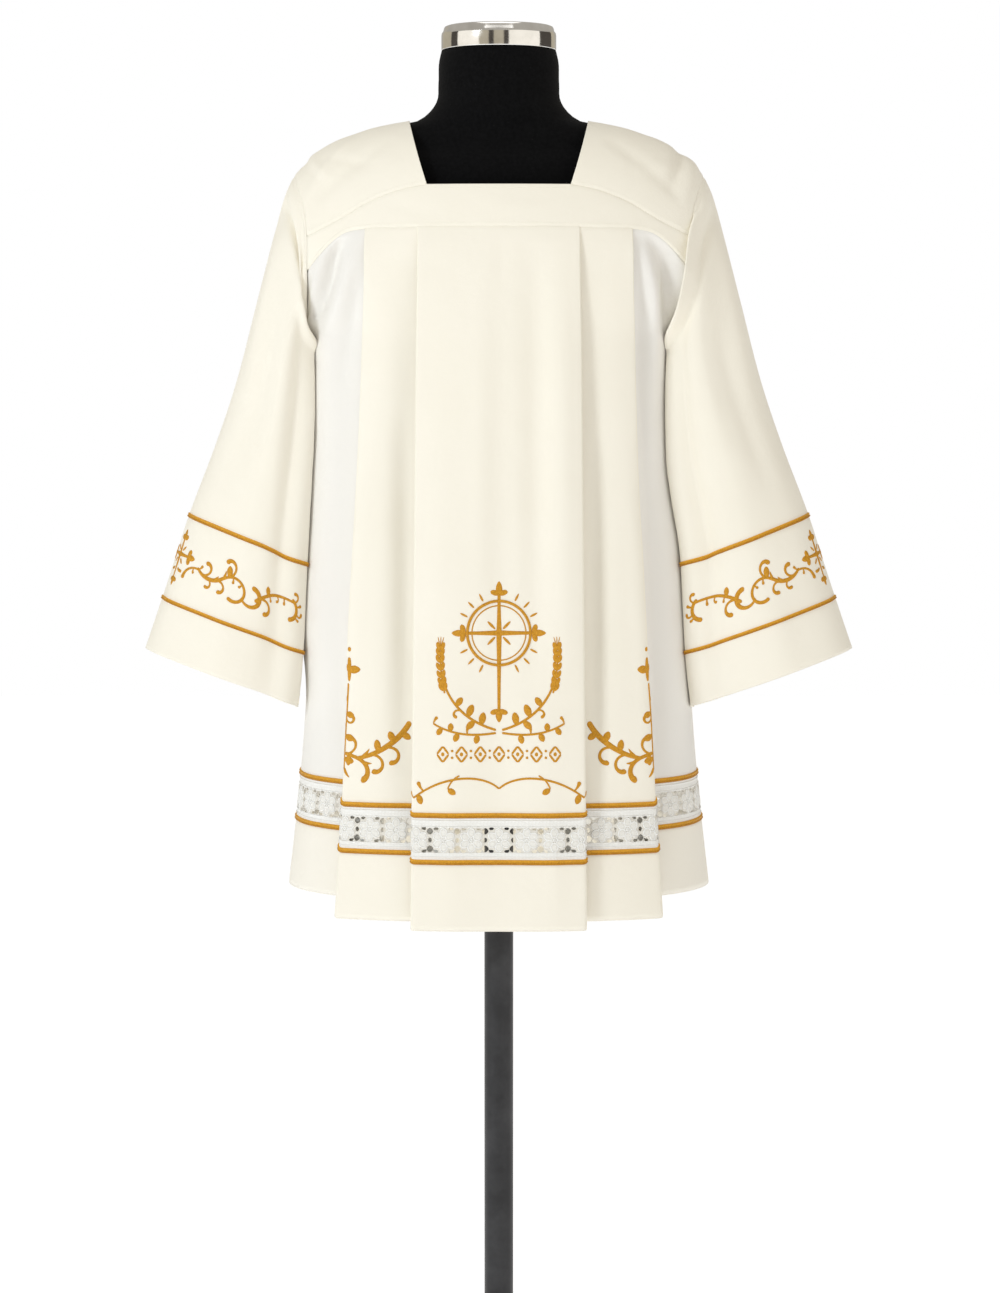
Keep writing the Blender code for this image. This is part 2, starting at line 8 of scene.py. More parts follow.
import bpy
import numpy as np
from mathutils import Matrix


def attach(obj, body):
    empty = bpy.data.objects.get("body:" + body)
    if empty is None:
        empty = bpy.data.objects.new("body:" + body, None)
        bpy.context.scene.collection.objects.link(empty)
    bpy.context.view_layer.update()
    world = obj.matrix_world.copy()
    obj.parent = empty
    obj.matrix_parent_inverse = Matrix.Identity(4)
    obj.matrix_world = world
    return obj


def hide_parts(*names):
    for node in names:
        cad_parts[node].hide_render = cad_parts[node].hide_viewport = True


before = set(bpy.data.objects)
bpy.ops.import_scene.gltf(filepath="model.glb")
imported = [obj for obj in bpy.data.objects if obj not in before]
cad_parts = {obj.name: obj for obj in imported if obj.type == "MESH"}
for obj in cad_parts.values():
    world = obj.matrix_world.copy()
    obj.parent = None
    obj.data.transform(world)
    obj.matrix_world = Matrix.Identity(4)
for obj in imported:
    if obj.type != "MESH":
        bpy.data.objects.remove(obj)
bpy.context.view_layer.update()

MM = 0.001


def table(columns, *rows):
    """Rows of numbers under named columns, as one array for each name."""
    return dict(zip(columns.split(), np.array(rows, dtype=float).T))


# Cloth and its seams: each seam is a dip, and under the yoke the pleats are pressed and tucked in
WALL = 1.1
SEAM_DIP = 0.9
SEAM_REACH = 1.6
SEAM_EASE = 12.0
SEAM_TUCK = 2.0
SEAM_PRESS = 0.7

# Braids, and stitches with their pitch, length and distance from a seam
BRAID_WIDTH = 5.5
BRAID_RISE = 1.7
BRAID_LIFT = 0.2
BRAID_SIDES = 12
BRAID_STEP = 2.4
STITCH_PITCH = 3.4
STITCH_LENGTH = 2.3
STITCH_HALF = 0.26
STITCH_ARCH = 0.16
STITCH_OFF = 4.0

# Heights above the hem of the two seams that the braids cover
LOWER_SEAM = 73.0
UPPER_SEAM = 122.5

# The body in plan is a superellipse: half widths and half depths of the side panels' ring
BODY_SQUARENESS = 2.4
BODY = table(
    "height half_width half_depth",
    (600, 237, 141),
    (654, 231, 138),
    (742, 221, 133),
    (841, 212, 128),
    (1000, 205, 121),
    (1100, 202, 117),
    (1252, 200, 112),
    (1321, 200, 107),
    (1368, 200, 101),
    (1413, 200, 90),
    (1430, 200, 84),
)

# The armhole is an oval in side view; its turn is 0 at the shoulder and 180 under the arm
ARMHOLE_MIDDLE = 1338.5
ARMHOLE_HALF_HEIGHT = 87.5
ARMHOLE_HALF_DEPTH = 68.0
UNDERARM = ARMHOLE_MIDDLE - ARMHOLE_HALF_HEIGHT
ARMHOLE = table(
    "turn across",
    (0, 224),
    (30, 219),
    (55, 211),
    (77.5, 207),
    (102, 206.5),
    (135, 204),
    (160, 201),
    (180, 200),
)

# The yoke band: its top edge is the neckline and then the shoulder seam
NECK_CORNER = 77.0
NECK_SPREAD = 20.5
YOKE_SIDE = 207.0
YOKE_COLUMNS = 62
YOKE_ROWS = 18
YOKE = table(
    "across top bottom",
    (0, 1412.3, 1366.8),
    (40, 1412.3, 1366.8),
    (NECK_CORNER, 1412.3, 1366.4),
    (107, 1406, 1365.8),
    (142.5, 1392, 1364.8),
    (168.3, 1377, 1359),
    (187.6, 1367.3, 1343.5),
    (YOKE_SIDE, 1358, 1321),
)
# The shoulder pieces: the ridge they arch over, from the neck to the armhole
SHOULDER_COLUMNS = 46
SHOULDER_ROWS = 60
RIDGE = table(
    "across height",
    (97, 1486),
    (120, 1482),
    (140, 1477.5),
    (158, 1471.5),
    (174, 1466),
    (194.7, 1455),
    (209.6, 1444),
    (218, 1433),
    (224, 1426),
)

# The pleats. Lines run from the yoke to the hem, and fold is 1 where the cloth bulges out as it
# turns back and -1 where it is tucked in; the last line is the armhole and then the side seam
HEM = 618.0
PLEAT_FLARE = 1.7
LAYER_GAP_TOP = 2.2
LAYER_GAP_HEM = 8.0
PLEAT_LINES = table(
    "at_yoke at_hem fold",
    (0, 0, 0),
    (85.5, 89, 1),
    (51, 50, -1),
    (142.5, 170, 1),
    (108, 126, -1),
    (YOKE_SIDE, YOKE_SIDE, 0),
)
SIDE_LINE = 5
# The cloth of one half, from the middle out: stretches from line to line with the layer of each
# end. Where a stretch starts and ends on one line it is a fold, bulging out or in by half a gap
STRETCHES = table(
    "start end from_layer to_layer bulge steps",
    (0, 1, 4, 4, 0, 18),
    (1, 1, 4, 3, 1, 8),
    (1, 2, 3, 3, 0, 6),
    (2, 2, 3, 2, -1, 8),
    (2, 3, 2, 2, 0, 20),
    (3, 3, 2, 1, 1, 8),
    (3, 4, 1, 1, 0, 6),
    (4, 4, 1, 0, -1, 8),
    (4, 5, 0, 0, 0, 34),
)
HEM_RISE = table("layer rise", (0, 28), (2, 8), (4, 0))
SIDE_SEAM_RISE = 7.0
UNDERARM_SHARE = 0.105
SIDE_FADE = 9.0
SKIRT_ROWS = 100
HEM_ROWS = 14
FACE_ROWS = 61
SOFT_FOLDS = table(
    "across width at_yoke half_way at_hem",
    (0, 22, 0, -4, -1),
    (46, 24, 0, 3, 2),
    (188, 14, -1, 0, 0),
)
# The garment hangs a little to -X beside the arms: how far, where across the shift grows and fades
# and over what distance, and the same for heights, with the lowest ones on the wearer's right
LEAN = 9.5
LEAN_IN, LEAN_IN_STEP = 140.0, 50.0
LEAN_OUT, LEAN_OUT_STEP = 205.0, 60.0
LEAN_TOP, LEAN_STEP = 1320.0, 100.0
LEAN_LEFT_LOW, LEAN_LEFT_STEP = 1000.0, 120.0
BODY_LEAN_LOW = 850.0
SLEEVE_LEAN_LOW = 700.0

# Creases of the front and the back: lines from one point to another that bow aside, with a width
# across, a depth at the middle, hollows below nought, and the layer of the pleats they stay below
CREASE = "x1 z1 x2 z2 bow width depth below"
FRONT_CREASES = table(
    CREASE,
    (-166, 1378, -192, 1272, 2, 9, -12.0, 9),
    (-146, 1366, -184, 1225, 2, 12, 5.0, 9),
    (-176, 1366, -204, 1278, 2, 7, 4.0, 9),
    (-196, 1318, -197, 1232, 0, 7, 5.0, 9),
    (158, 1378, 192, 1268, -4, 10, -11.0, 9),
    (146, 1366, 180, 1200, -4, 11, 4.0, 9),
    (189, 1372, 180, 1250, 0, 8, -5.0, 9),
    (-150, 1330, -168, 1190, 0, 7, -3.5, 9),
    (-150, 1352, -186, 1150, 5, 11, 2.6, 9),
    (152, 1350, 184, 1180, -4, 10, 2.2, 9),
    (-16, 1345, -12, 860, 3, 14, 3.4, 9),
    (38, 1352, 36, 840, -3, 16, -8.0, 9),
    (2, 1368, 5, 1270, 0, 3.5, -0.9, 9),
    (66, 1340, 72, 860, 2, 16, 3.6, 9),
    (-66, 1200, -70, 820, -2, 16, 1.8, 9),
    (-104, 1180, -101, 780, 0, 9, -4.2, 9),
    (106, 1150, 103, 770, 0, 10, -4.6, 9),
    (-134, 1200, -150, 760, 4, 9, 2.6, 9),
    (133, 1140, 152, 750, -3, 9, 2.4, 9),
    (-178, 1110, -170, 790, 4, 12, -2.6, 9),
    (176, 1130, 168, 780, -5, 13, -3.0, 9),
    (-196, 1040, -204, 700, 3, 10, 1.4, 9),
    (194, 1010, 203, 690, -3, 11, 1.5, 9),
    (-28, 770, -36, 618, 0, 12, -1.6, 9),
    (52, 760, 60, 618, 0, 11, 1.5, 9),
    (-90, 1345, -92, 700, 0, 25, -14.0, 3),
    (92, 1345, 93, 690, 0, 22, -8.5, 3),
    (-157, 1300, -175, 700, 0, 12, -3.5, 1),
    (156, 1300, 176, 690, 0, 12, -8.0, 1),
    (151, 1374, 158, 1120, 0, 9, -6.0, 1),
)
BACK_CREASES = table(
    CREASE,
    (-160, 1368, -198, 1255, 7, 10, -4.6, 9),
    (159, 1368, 200, 1272, -6, 9, -4.0, 9),
    (-151, 1350, -184, 1170, 4, 10, 2.2, 9),
    (151, 1352, 187, 1140, -5, 11, 2.6, 9),
    (10, 1340, 16, 930, -3, 14, -3.2, 9),
    (-26, 1320, -30, 860, 3, 15, 2.8, 9),
    (-72, 1280, -70, 900, -2, 14, -2.2, 9),
    (68, 1220, 72, 830, 2, 16, 2.0, 9),
    (-105, 1160, -102, 770, 0, 10, -4.4, 9),
    (104, 1190, 102, 780, 0, 9, -4.2, 9),
    (-133, 1130, -151, 750, 3, 9, 2.4, 9),
    (135, 1210, 150, 760, -4, 9, 2.6, 9),
    (-177, 1140, -169, 780, 5, 13, -2.8, 9),
    (179, 1090, 171, 790, -4, 12, -2.6, 9),
    (-195, 1020, -203, 690, 3, 11, 1.5, 9),
    (195, 1050, 204, 700, -3, 10, 1.4, 9),
    (34, 770, 42, 618, 0, 12, -1.6, 9),
    (-50, 750, -58, 618, 0, 11, 1.4, 9),
    (91, 1345, 93, 700, 0, 26, -7.5, 3),
    (-91, 1345, -93, 690, 0, 23, -6.5, 3),
    (157, 1300, 176, 700, 0, 12, -4.0, 1),
    (-156, 1300, -177, 690, 0, 12, -7.5, 1),
)
YOKE_CREASES = table(
    CREASE,
    (-30, 1400, 60, 1385, 3, 9, 0.7, 9),
    (-120, 1395, -60, 1378, 2, 8, -0.8, 9),
    (95, 1396, 150, 1380, -2, 8, 0.8, 9),
)
# On a shoulder piece a crease goes by distances along it and over it from its ridge; side is 1 where
# only the left piece has it and -1 where only the right one has it
SHOULDER_CREASES = table(
    CREASE + " side",
    (20, -60, 125, -86, 4, 9, -2.4, 9, 0),
    (60, -30, 138, -70, 5, 8, 2.4, 9, -1),
    (30, 40, 120, 82, -4, 10, -2.0, 9, 0),
    (70, 20, 135, 60, 4, 9, 2.0, 9, 0),
    (112, -70, 128, 60, 4, 6, -2.2, 9, -1),
    (96, -80, 118, -20, 3, 5, 1.8, 9, -1),
    (45, -92, 100, -40, 3, 6, -1.5, 9, -1),
    (106, -90, 104, 15, 4, 8, -4.0, 9, 1),
    (122, -88, 128, 20, 3, 8, 2.4, 9, 1),
    (60, -88, 112, -40, 3, 8, 1.6, 9, 1),
)

# Sleeves: a row for each ring, an oval between its outer fold and its inner line, and how far down
# the cloth it is from the armhole. The rings of the two braids have rows of their own
UPPER_BRAID_RING = 6
LOWER_BRAID_RING = 7
LAST_RING = 8
SLEEVE = table(
    "outer_x outer_y outer_z inner_x inner_y inner_z half_depth down",
    (224, 0, 1426, 200, 0, UNDERARM, ARMHOLE_HALF_DEPTH, 0),
    (234, 0, 1403, 196, -2, 1242, 69, 17),
    (246, -2, 1360, 190, -4, 1225, 70, 48),
    (264, -4, 1290, 185, -6, 1188, 71, 103),
    (286, -6, 1205, 184, -8, 1132, 70, 175),
    (310, -8, 1133, 187, -10, 1075, 69, 241),
    (339, -10, 1056.7, 191, -12, 1000, 67, 320),
    (369, -12, 966.7, 195, -14, 904, 64, 415),
    (387.5, -14, 911, 204, -15, 846, 62, 474),
)
SLEEVE_INNER_POWER = 0.8
# The sleeve's distance from the body's side, and how round it turns to keep it
SLEEVE_CLEARANCE = 3.0
SLEEVE_ROUNDING = 3.0
# How far down a sleeve its folds and its clearance grow to their full size, in rings, and its laps
SLEEVE_FOLDS_EASE = 0.4
SLEEVE_CLEARANCE_EASE = 0.8
SLEEVE_LAPS_EASE = 9.0
# The distance between the two braids, the cuff's flat width for the weave, and how far round a sleeve
# a degree is where creases are laid out
SLEEVE_BAND = 95.5
SLEEVE_FLAT_WIDTH = 470.0
SLEEVE_MM_PER_DEGREE = 1.25
# Columns round a sleeve, and its rows: close by the seam, fine to where the laps end, then even
SLEEVE_SIDES = 132
SLEEVE_FIRST_ROWS = (0, 0.012, 0.025, 0.045, 0.075, 0.12)
SLEEVE_FINE_FROM, SLEEVE_FINE_TO, SLEEVE_FINE_STEP = 0.2, 2.3, 0.05
SLEEVE_ROWS = 88
SLEEVE_FACE_ROWS = 90
SLEEVE_BRAID_STEPS = 190
SLEEVE_FOLDS = table(
    "angle width at_armhole half_way at_cuff",
    (62, 26, -2, -6, -3),
    (116, 18, 0, -7, -9),
    (143, 20, 2, 7, 4),
    (-75, 28, 0, -6, -4),
    (-140, 24, 4, 8, 4),
)
# Creases of a sleeve, each from one angle and ring to another, with a width in mm
SLEEVE_CREASE = "a1 r1 a2 r2 width depth side"
SLEEVE_CREASES = table(
    SLEEVE_CREASE,
    (4, 1.15, 92, 1.75, 8, -11.0, -1),
    (58, 1.8, 150, 1.25, 8, -10.0, -1),
    (60, 0.9, 142, 0.75, 9, -6.5, -1),
    (10, 0.5, 60, 0.7, 7, 2.0, -1),
    (10, 1.3, 96, 1.7, 9, -5.0, 1),
    (-10, 1.2, -144, 1.5, 8, -7.0, 0),
    (20, 0.6, 100, 0.7, 6, 2.0, 1),
    (-25, 0.6, -145, 0.7, 6, 2.2, 0),
    (30, 1.6, 40, 4.2, 15, 3.0, 0),
    (62, 3.0, 52, 5.6, 14, -2.4, 0),
    (96, 2.2, 88, 5.0, 13, 2.6, 0),
    (-40, 1.8, -48, 5.0, 16, 2.6, 0),
    (-100, 2.4, -96, 6.4, 14, -2.8, 0),
    (116, 2.2, 113, 7.6, 11, -2.5, 0),
    (8, 6.2, 14, 8, 12, -1.6, 0),
    (75, 6.6, 80, 8, 14, 1.8, 0),
    (-70, 6.5, -66, 8, 14, -1.8, 0),
    (117, 3.4, 124, 9, 9, -3.6, 1),
    (138, 3.6, 146, 9, 9, -2.8, -1),
)
# Laps of a sleeve over its seam: along each line the cloth moves in over the body by its depth, and
# ahead of it by a share of that
SLEEVE_LAPS = table(
    SLEEVE_CREASE,
    (50, 0.35, 156, 1.85, 12, 13.0, 1),
    (146, 1.7, 176, 3.6, 14, 4.5, 1),
    (0, 1.5, 92, 2.15, 9, 6.0, -1),
    (56, 2.1, 164, 1.85, 10, 6.0, -1),
    (146, 1.6, 176, 3.8, 16, 6.0, -1),
)
LAP_AHEAD = {1: 1.4, -1: 0.7}

# Lace: one repeat along the band, with gaps cut through it, placed from the middle between two
# flowers and from the middle of the openwork, and the petals of a flower
LACE_REPEAT = 29.5
LACE_CELLS = 20
LACE_MIDDLE = 96.7
LACE_GAPS = table(
    "aside above half_width half_height squareness",
    (0, 9.3, 3.5, 3.5, 1.5),
    (0, -9.3, 3.7, 3.7, 1.5),
    (0, 0, 2.1, 2.7, 1.7),
    (6.6, 12.0, 2.9, 1.6, 1.6),
    (-6.6, 12.0, 2.9, 1.6, 1.6),
    (6.6, -12.0, 2.9, 1.6, 1.6),
    (-6.6, -12.0, 2.9, 1.6, 1.6),
)
LACE_ROWS = 34
LACE_THICKNESS = 0.5
PETALS = 6
PETAL_REACH = 7.7
PETAL_HALF_LENGTH = 4.7
PETAL_HALF_WIDTH = 3.7
PETAL_RISE = 0.7
BUTTON_RISE, BUTTON_WIDTH = 0.6, 1.8
# Radii of the cords round a petal, round a flower's button and along the openwork, and the lines of
# the last ones above the hem
PETAL_CORD, BUTTON_CORD, LINE_CORD = 0.75, 0.7, 0.5
LACE_CORD_SIDES = 4
LACE_CORD_STEP = 3.0
LACE_LINES = (LACE_MIDDLE - 13.9, LACE_MIDDLE + 13.9, LOWER_SEAM + 5.5, UPPER_SEAM - 5.5)

# Satin stitch: sides of a stroke's section, its greatest height, the steps that a stem's turns are
# summed over, and the distance from section to section
SATIN_SIDES = 8
SATIN_RISE = 0.75
TENDRIL_STEPS = 160
STITCH_STEP = 1.3

# The form: rings of its torso and neck, a chrome cap, a pole and a base plate
FORM = table(
    "height half_width half_depth squareness",
    (800, 138, 82, 2.2),
    (812, 152, 95, 2.3),
    (840, 160, 102, 2.4),
    (900, 163, 104, 2.4),
    (1000, 150, 96, 2.4),
    (1060, 145, 92, 2.4),
    (1150, 158, 98, 2.4),
    (1252, 174, 98, 2.4),
    (1300, 186, 94, 2.4),
    (1340, 194, 90, 2.3),
    (1370, 202, 86, 2.2),
    (1400, 208, 82, 2.1),
    (1423, 209, 78, 1.9),
    (1442, 203, 72, 1.7),
    (1453.4, 191, 66, 1.55),
    (1464.4, 171.5, 65, 1.5),
    (1470.4, 156, 64, 1.5),
    (1476.2, 139, 64, 1.5),
    (1480.4, 118, 64, 1.6),
    (1484, 97, 66, 1.7),
    (1494, 78, 67, 1.9),
    (1505, 69, 65, 2),
    (1527, 66, 63, 2),
    (1552, 65, 62, 2),
    (1562.5, 62.5, 60, 2),
)
CAP = table(
    "radius height",
    (60.6, 1562.8),
    (62.3, 1563.2),
    (62.7, 1564.2),
    (62.7, 1579),
    (62.3, 1581.2),
    (60.6, 1583.6),
    (60.0, 1586.4),
    (59.0, 1588.2),
    (57.0, 1589),
    (53, 1589),
)
POLE_RADIUS = 16.0
POLE_EDGE = 0.2
FORM_ROWS = 150
FORM_SIDES = 96
BASE = table(
    "radius height",
    (167.6, 0),
    (169.2, 0.5),
    (170, 2),
    (170, 7),
    (169, 9.4),
    (164, 11.7),
    (158, 12),
)


# Numbers


def smooth(at, places, values):
    """A cubic curve through the values at rising places, level past its ends."""
    at = np.clip(at, places[0], places[-1])
    slopes = np.gradient(values, places)
    before = np.clip(np.searchsorted(places, at, side="right") - 1, 0, len(places) - 2)
    span = places[before + 1] - places[before]
    t = (at - places[before]) / span
    return (
        values[before] * (2 * t**3 - 3 * t**2 + 1)
        + slopes[before] * span * (t**3 - 2 * t**2 + t)
        + values[before + 1] * (3 * t**2 - 2 * t**3)
        + slopes[before + 1] * span * (t**3 - t**2)
    )


def mix(low, high, share):
    """The value a share of the way from low to high."""
    return low + (high - low) * share


def ease(share):
    """A share of the way that starts and ends slowly: 3 t^2 - 2 t^3, between nought and one."""
    t = np.clip(share, 0, 1)
    return t * t * (3 - 2 * t)


def bell(distance, width):
    """One at no distance, falling smoothly to nothing at three widths: exp(-(d / width)^2)."""
    return np.exp(-((distance / width) ** 2))


def in_thirds(folds, share):
    """How proud each fold is at a share of the way down, through its three depths."""
    down = np.asarray(share)[..., None]
    first, second, third = (folds[name] for name in list(folds)[-3:])
    return np.where(down < 0.5, mix(first, second, 2 * down), mix(second, third, 2 * down - 1))


def edged(count, near, steps):
    """Shares from nought to one, even but for a few close steps by each end."""
    close = np.linspace(0, near, steps, endpoint=False)
    return np.concatenate([close, np.linspace(near, 1 - near, count), 1 - close[::-1]])


def unit(vectors):
    """The same directions, with length one."""
    return vectors / np.linalg.norm(vectors, axis=-1, keepdims=True)


def lengths(points, axis):
    """Distance along a grid of points from its first row or column, step by step."""
    steps = np.linalg.norm(np.diff(points, axis=axis), axis=-1)
    first = np.zeros_like(np.take(steps, [0], axis=axis))
    return np.cumsum(np.concatenate([first, steps], axis=axis), axis=axis)


# Meshes


def grid_quads(rows, columns, round_about=False):
    """Quads of a grid of points; a tube's last column joins its first."""
    index = np.arange(rows * columns).reshape(rows, columns)
    beside = np.roll(index, -1, axis=1)
    quads = np.stack([index[:-1], beside[:-1], beside[1:], index[1:]], axis=-1)
    return (quads if round_about else quads[:, :-1]).reshape(-1, 4)


def end_quads(ring):
    """A ladder of quads that fills a ring with an even number of points."""
    steps = np.arange(len(ring) // 2 - 1)
    return np.stack([ring[-steps], ring[steps + 1], ring[steps + 2], ring[-steps - 1]], axis=-1)


def walled(outside, inside, quads, uv):
    """A closed wall: the quads outside, the same ones inside, and a rim along each free edge."""
    outside, inside, uv = outside.reshape(-1, 3), inside.reshape(-1, 3), uv.reshape(-1, 2)
    corners = outside[quads]
    facing = np.cross(corners[:, 2] - corners[:, 0], corners[:, 3] - corners[:, 1])
    if np.sum(facing * (outside - inside)[quads[:, 0]]) < 0:
        quads = quads[:, ::-1]
    count = len(outside)
    ahead = np.stack([quads, np.roll(quads, -1, axis=1)], axis=-1).reshape(-1, 2)
    met = np.isin(ahead[:, 1] * count + ahead[:, 0], ahead[:, 0] * count + ahead[:, 1])
    start, end = ahead[~met].T
    rim = np.stack([end, start, start + count, end + count], axis=-1)
    faces = np.vstack([quads, quads[:, ::-1] + count, rim])
    return np.vstack([outside, inside]), faces, np.vstack([uv, uv])


def outwards(points, quads, uv):
    """The same closed body with its faces turned out, from the sign of its volume."""
    a, b, c, d = (points[quads[:, i]] - points.mean(axis=0) for i in range(4))
    volume = np.sum(np.cross(a, b) * c) + np.sum(np.cross(a, c) * d)
    return points, quads if volume > 0 else quads[:, ::-1], uv


def tube(sections, uv, closed=False):
    """A closed body through a row of sections, each a ring of points; closed joins its ends."""
    count, sides = sections.shape[:2]
    points = sections.reshape(-1, 3)
    quads = grid_quads(count, sides, round_about=True)
    last = (count - 1) * sides + np.arange(sides)
    first = np.arange(sides)
    if closed:
        beside = np.roll(first, -1)
        join = np.stack([last, np.roll(last, -1), beside, first], axis=-1)
        quads = np.vstack([quads, join])
    else:
        quads = np.vstack([quads, end_quads(first)[:, ::-1], end_quads(last)])
    return outwards(points, quads, uv.reshape(-1, 2))


def joined(parts):
    """Several bodies as one."""
    starts = np.cumsum([0] + [len(points) for points, _, _ in parts[:-1]])
    points = np.vstack([points for points, _, _ in parts])
    quads = np.vstack([quads + start for (_, quads, _), start in zip(parts, starts)])
    return points, quads, np.vstack([uv for _, _, uv in parts])


def mark(item, name, values):
    """Give each point of a piece a value that its material reads."""
    layer = item.data.attributes.new(name, "FLOAT", "POINT")
    layer.data.foreach_set("value", values.astype(np.float32))


def add_piece(name, body, look, nodes=()):
    """Put a body into the scene as one piece; it stands for the CAD nodes named."""
    points, quads, uv = body
    mesh = bpy.data.meshes.new(name)
    mesh.vertices.add(len(points))
    mesh.vertices.foreach_set("co", (points * MM).astype(np.float32).ravel())
    mesh.loops.add(quads.size)
    mesh.loops.foreach_set("vertex_index", quads.astype(np.int32).ravel())
    mesh.polygons.add(len(quads))
    mesh.polygons.foreach_set("loop_start", np.arange(0, quads.size, 4, dtype=np.int32))
    layer = mesh.uv_layers.new(name="cloth")
    layer.data.foreach_set("uv", (uv[quads.ravel()] * MM).astype(np.float32).ravel())
    mesh.update(calc_edges=True)
    mesh.validate()
    mesh.shade_smooth()
    mesh.materials.append(look)
    item = bpy.data.objects.new(name, mesh)
    bpy.context.scene.collection.objects.link(item)
    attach(item, "root")
    if nodes:
        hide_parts(*nodes)
    return item


def plan_facing(points):
    """Level normals of rows of points, lengthened at corners so that a wall keeps its thickness."""
    steps = unit(np.diff(points[..., :2], axis=1))
    before = np.concatenate([steps[:, :1], steps], axis=1)
    after = np.concatenate([steps, steps[:, -1:]], axis=1)
    heading = unit(before + after)
    stretch = 1 / np.sum(heading * after, axis=-1)
    return np.stack([heading[..., 1] * stretch, -heading[..., 0] * stretch, 0 * stretch], axis=-1)


def facing(points):
    """Unit normals of a grid of points, from its steps along and across."""
    return unit(np.cross(np.gradient(points, axis=1), np.gradient(points, axis=0)))


# The body


def armhole(turn):
    """A point of the armhole seam at +X, from its turn in radians."""
    across = smooth(np.degrees(np.abs(turn)), ARMHOLE["turn"], ARMHOLE["across"])
    ahead = -ARMHOLE_HALF_DEPTH * np.sin(turn)
    height = ARMHOLE_MIDDLE + ARMHOLE_HALF_HEIGHT * np.cos(turn)
    return across, ahead, height


def armhole_turn(height):
    """The turn of the armhole seam at a height, in radians."""
    return np.arccos(np.clip((height - ARMHOLE_MIDDLE) / ARMHOLE_HALF_HEIGHT, -1, 1))


def ring_sizes(height):
    """Half width and half depth of the body at a height; beside the armhole it meets the seam."""
    depth = smooth(height, BODY["height"], BODY["half_depth"])
    below = smooth(height, BODY["height"], BODY["half_width"])
    across, ahead, _ = armhole(armhole_turn(height))
    room = 1 - (np.abs(ahead) / depth) ** BODY_SQUARENESS
    beside = across / room ** (1 / BODY_SQUARENESS)
    return np.where(height > UNDERARM, beside, below), depth


def ring_angle(across, height):
    """The angle from the middle of the front to a distance across, on the ring at a height."""
    width, _ = ring_sizes(height)
    share = np.clip(np.abs(across) / width, 0, 1)
    return np.sign(across) * np.arcsin(share ** (BODY_SQUARENESS / 2))


def ring_point(angle, height, proud):
    """A point of the front: (w sin^(2/n) a, -d cos^(2/n) a), moved out along the slope of the ring."""
    width, depth = ring_sizes(height)
    across = np.sin(np.abs(angle)) ** (2 / BODY_SQUARENESS)
    ahead = np.abs(np.cos(angle)) ** (2 / BODY_SQUARENESS)
    out_x = across ** (BODY_SQUARENESS - 1) / width
    out_y = -(ahead ** (BODY_SQUARENESS - 1)) / depth
    length = np.hypot(out_x, out_y)
    x = np.sign(angle) * (width * across + proud * out_x / length)
    y = -depth * ahead + proud * out_y / length
    return np.stack([x, y, height + 0 * x], axis=-1)


def yoke_edge(across, edge):
    """Height of the yoke's top or bottom edge at a distance across, with a corner at the neck."""
    beyond = YOKE["across"] >= NECK_CORNER
    curve = smooth(np.abs(across), YOKE["across"][beyond], YOKE[edge][beyond])
    plain = np.interp(np.abs(across), YOKE["across"], YOKE[edge])
    return np.where(np.abs(across) < NECK_CORNER, plain, curve)


def relief(across, height, creases, layer=0.0):
    """How proud a front or back is of its plain form: along each crease a bell across it, whose
    depth rises and falls as sin(pi t) on the way from one end to the other."""
    x1, z1, x2, z2 = (creases[name] for name in ("x1", "z1", "x2", "z2"))
    run = np.hypot(x2 - x1, z2 - z1)
    ahead_x, ahead_z = (x2 - x1) / run, (z2 - z1) / run
    off_x, off_z = across[..., None] - x1, height[..., None] - z1
    along = np.clip((off_x * ahead_x + off_z * ahead_z) / run, 0, 1)
    aside = off_x * ahead_z - off_z * ahead_x - creases["bow"] * 4 * along * (1 - along)
    strength = creases["depth"] * np.sin(np.pi * along) ** 0.7
    strength = strength * np.clip(creases["below"] - np.asarray(layer)[..., None], 0, 1)
    return np.sum(strength * bell(aside, creases["width"]), axis=-1)


def leaned(points, low):
    """Points moved a little to -X beside the arms, as the garment hangs, down to a low height at -X:
    the shift grows and fades smoothly with the distance across and with the height."""
    across, height = np.abs(points[..., :1]), points[..., 2:]
    share = ease((across - LEAN_IN) / LEAN_IN_STEP) * (1 - ease((across - LEAN_OUT) / LEAN_OUT_STEP))
    share = share * ease((LEAN_TOP - height) / LEAN_STEP)
    at_right = ease((height - low) / LEAN_STEP)
    at_left = ease((height - LEAN_LEFT_LOW) / LEAN_LEFT_STEP)
    return points - share * np.where(points[..., :1] < 0, at_right, at_left) * (LEAN, 0, 0)


def front(points):
    """Points of the front where they hang."""
    return leaned(points, BODY_LEAN_LOW)


def back(points):
    """The same points on the back."""
    return leaned(points * (1, -1, 1), BODY_LEAN_LOW)


# The pleats


def columns():
    """The columns of one half, from the middle out. On a panel they lie evenly from one line to the
    next; a fold is half a turn, so its layer follows a cosine and its bulge a sine."""
    parts = []
    for start, end, low, high, bulge, steps in zip(*STRETCHES.values()):
        share = np.arange(steps) / steps
        turn = np.pi * share
        lines = np.full_like(share, start), np.full_like(share, end)
        if bulge:
            nudge = bulge * (np.sin(turn) - 1)
            parts.append((*lines, 0 * share, mix(low, high, (1 - np.cos(turn)) / 2), nudge, nudge))
        else:
            first, last = (-PLEAT_LINES["fold"][int(line)] + 0 * share for line in (start, end))
            parts.append((*lines, share, mix(low, high, share), first, last))
    parts.append(tuple([value] for value in (SIDE_LINE - 1, SIDE_LINE, 1, 0, 1, 0)))
    names = ("start", "end", "share", "layer", "first_nudge", "last_nudge")
    return {name: np.concatenate(parts) for name, parts in zip(names, zip(*parts))}


COLUMNS = columns()


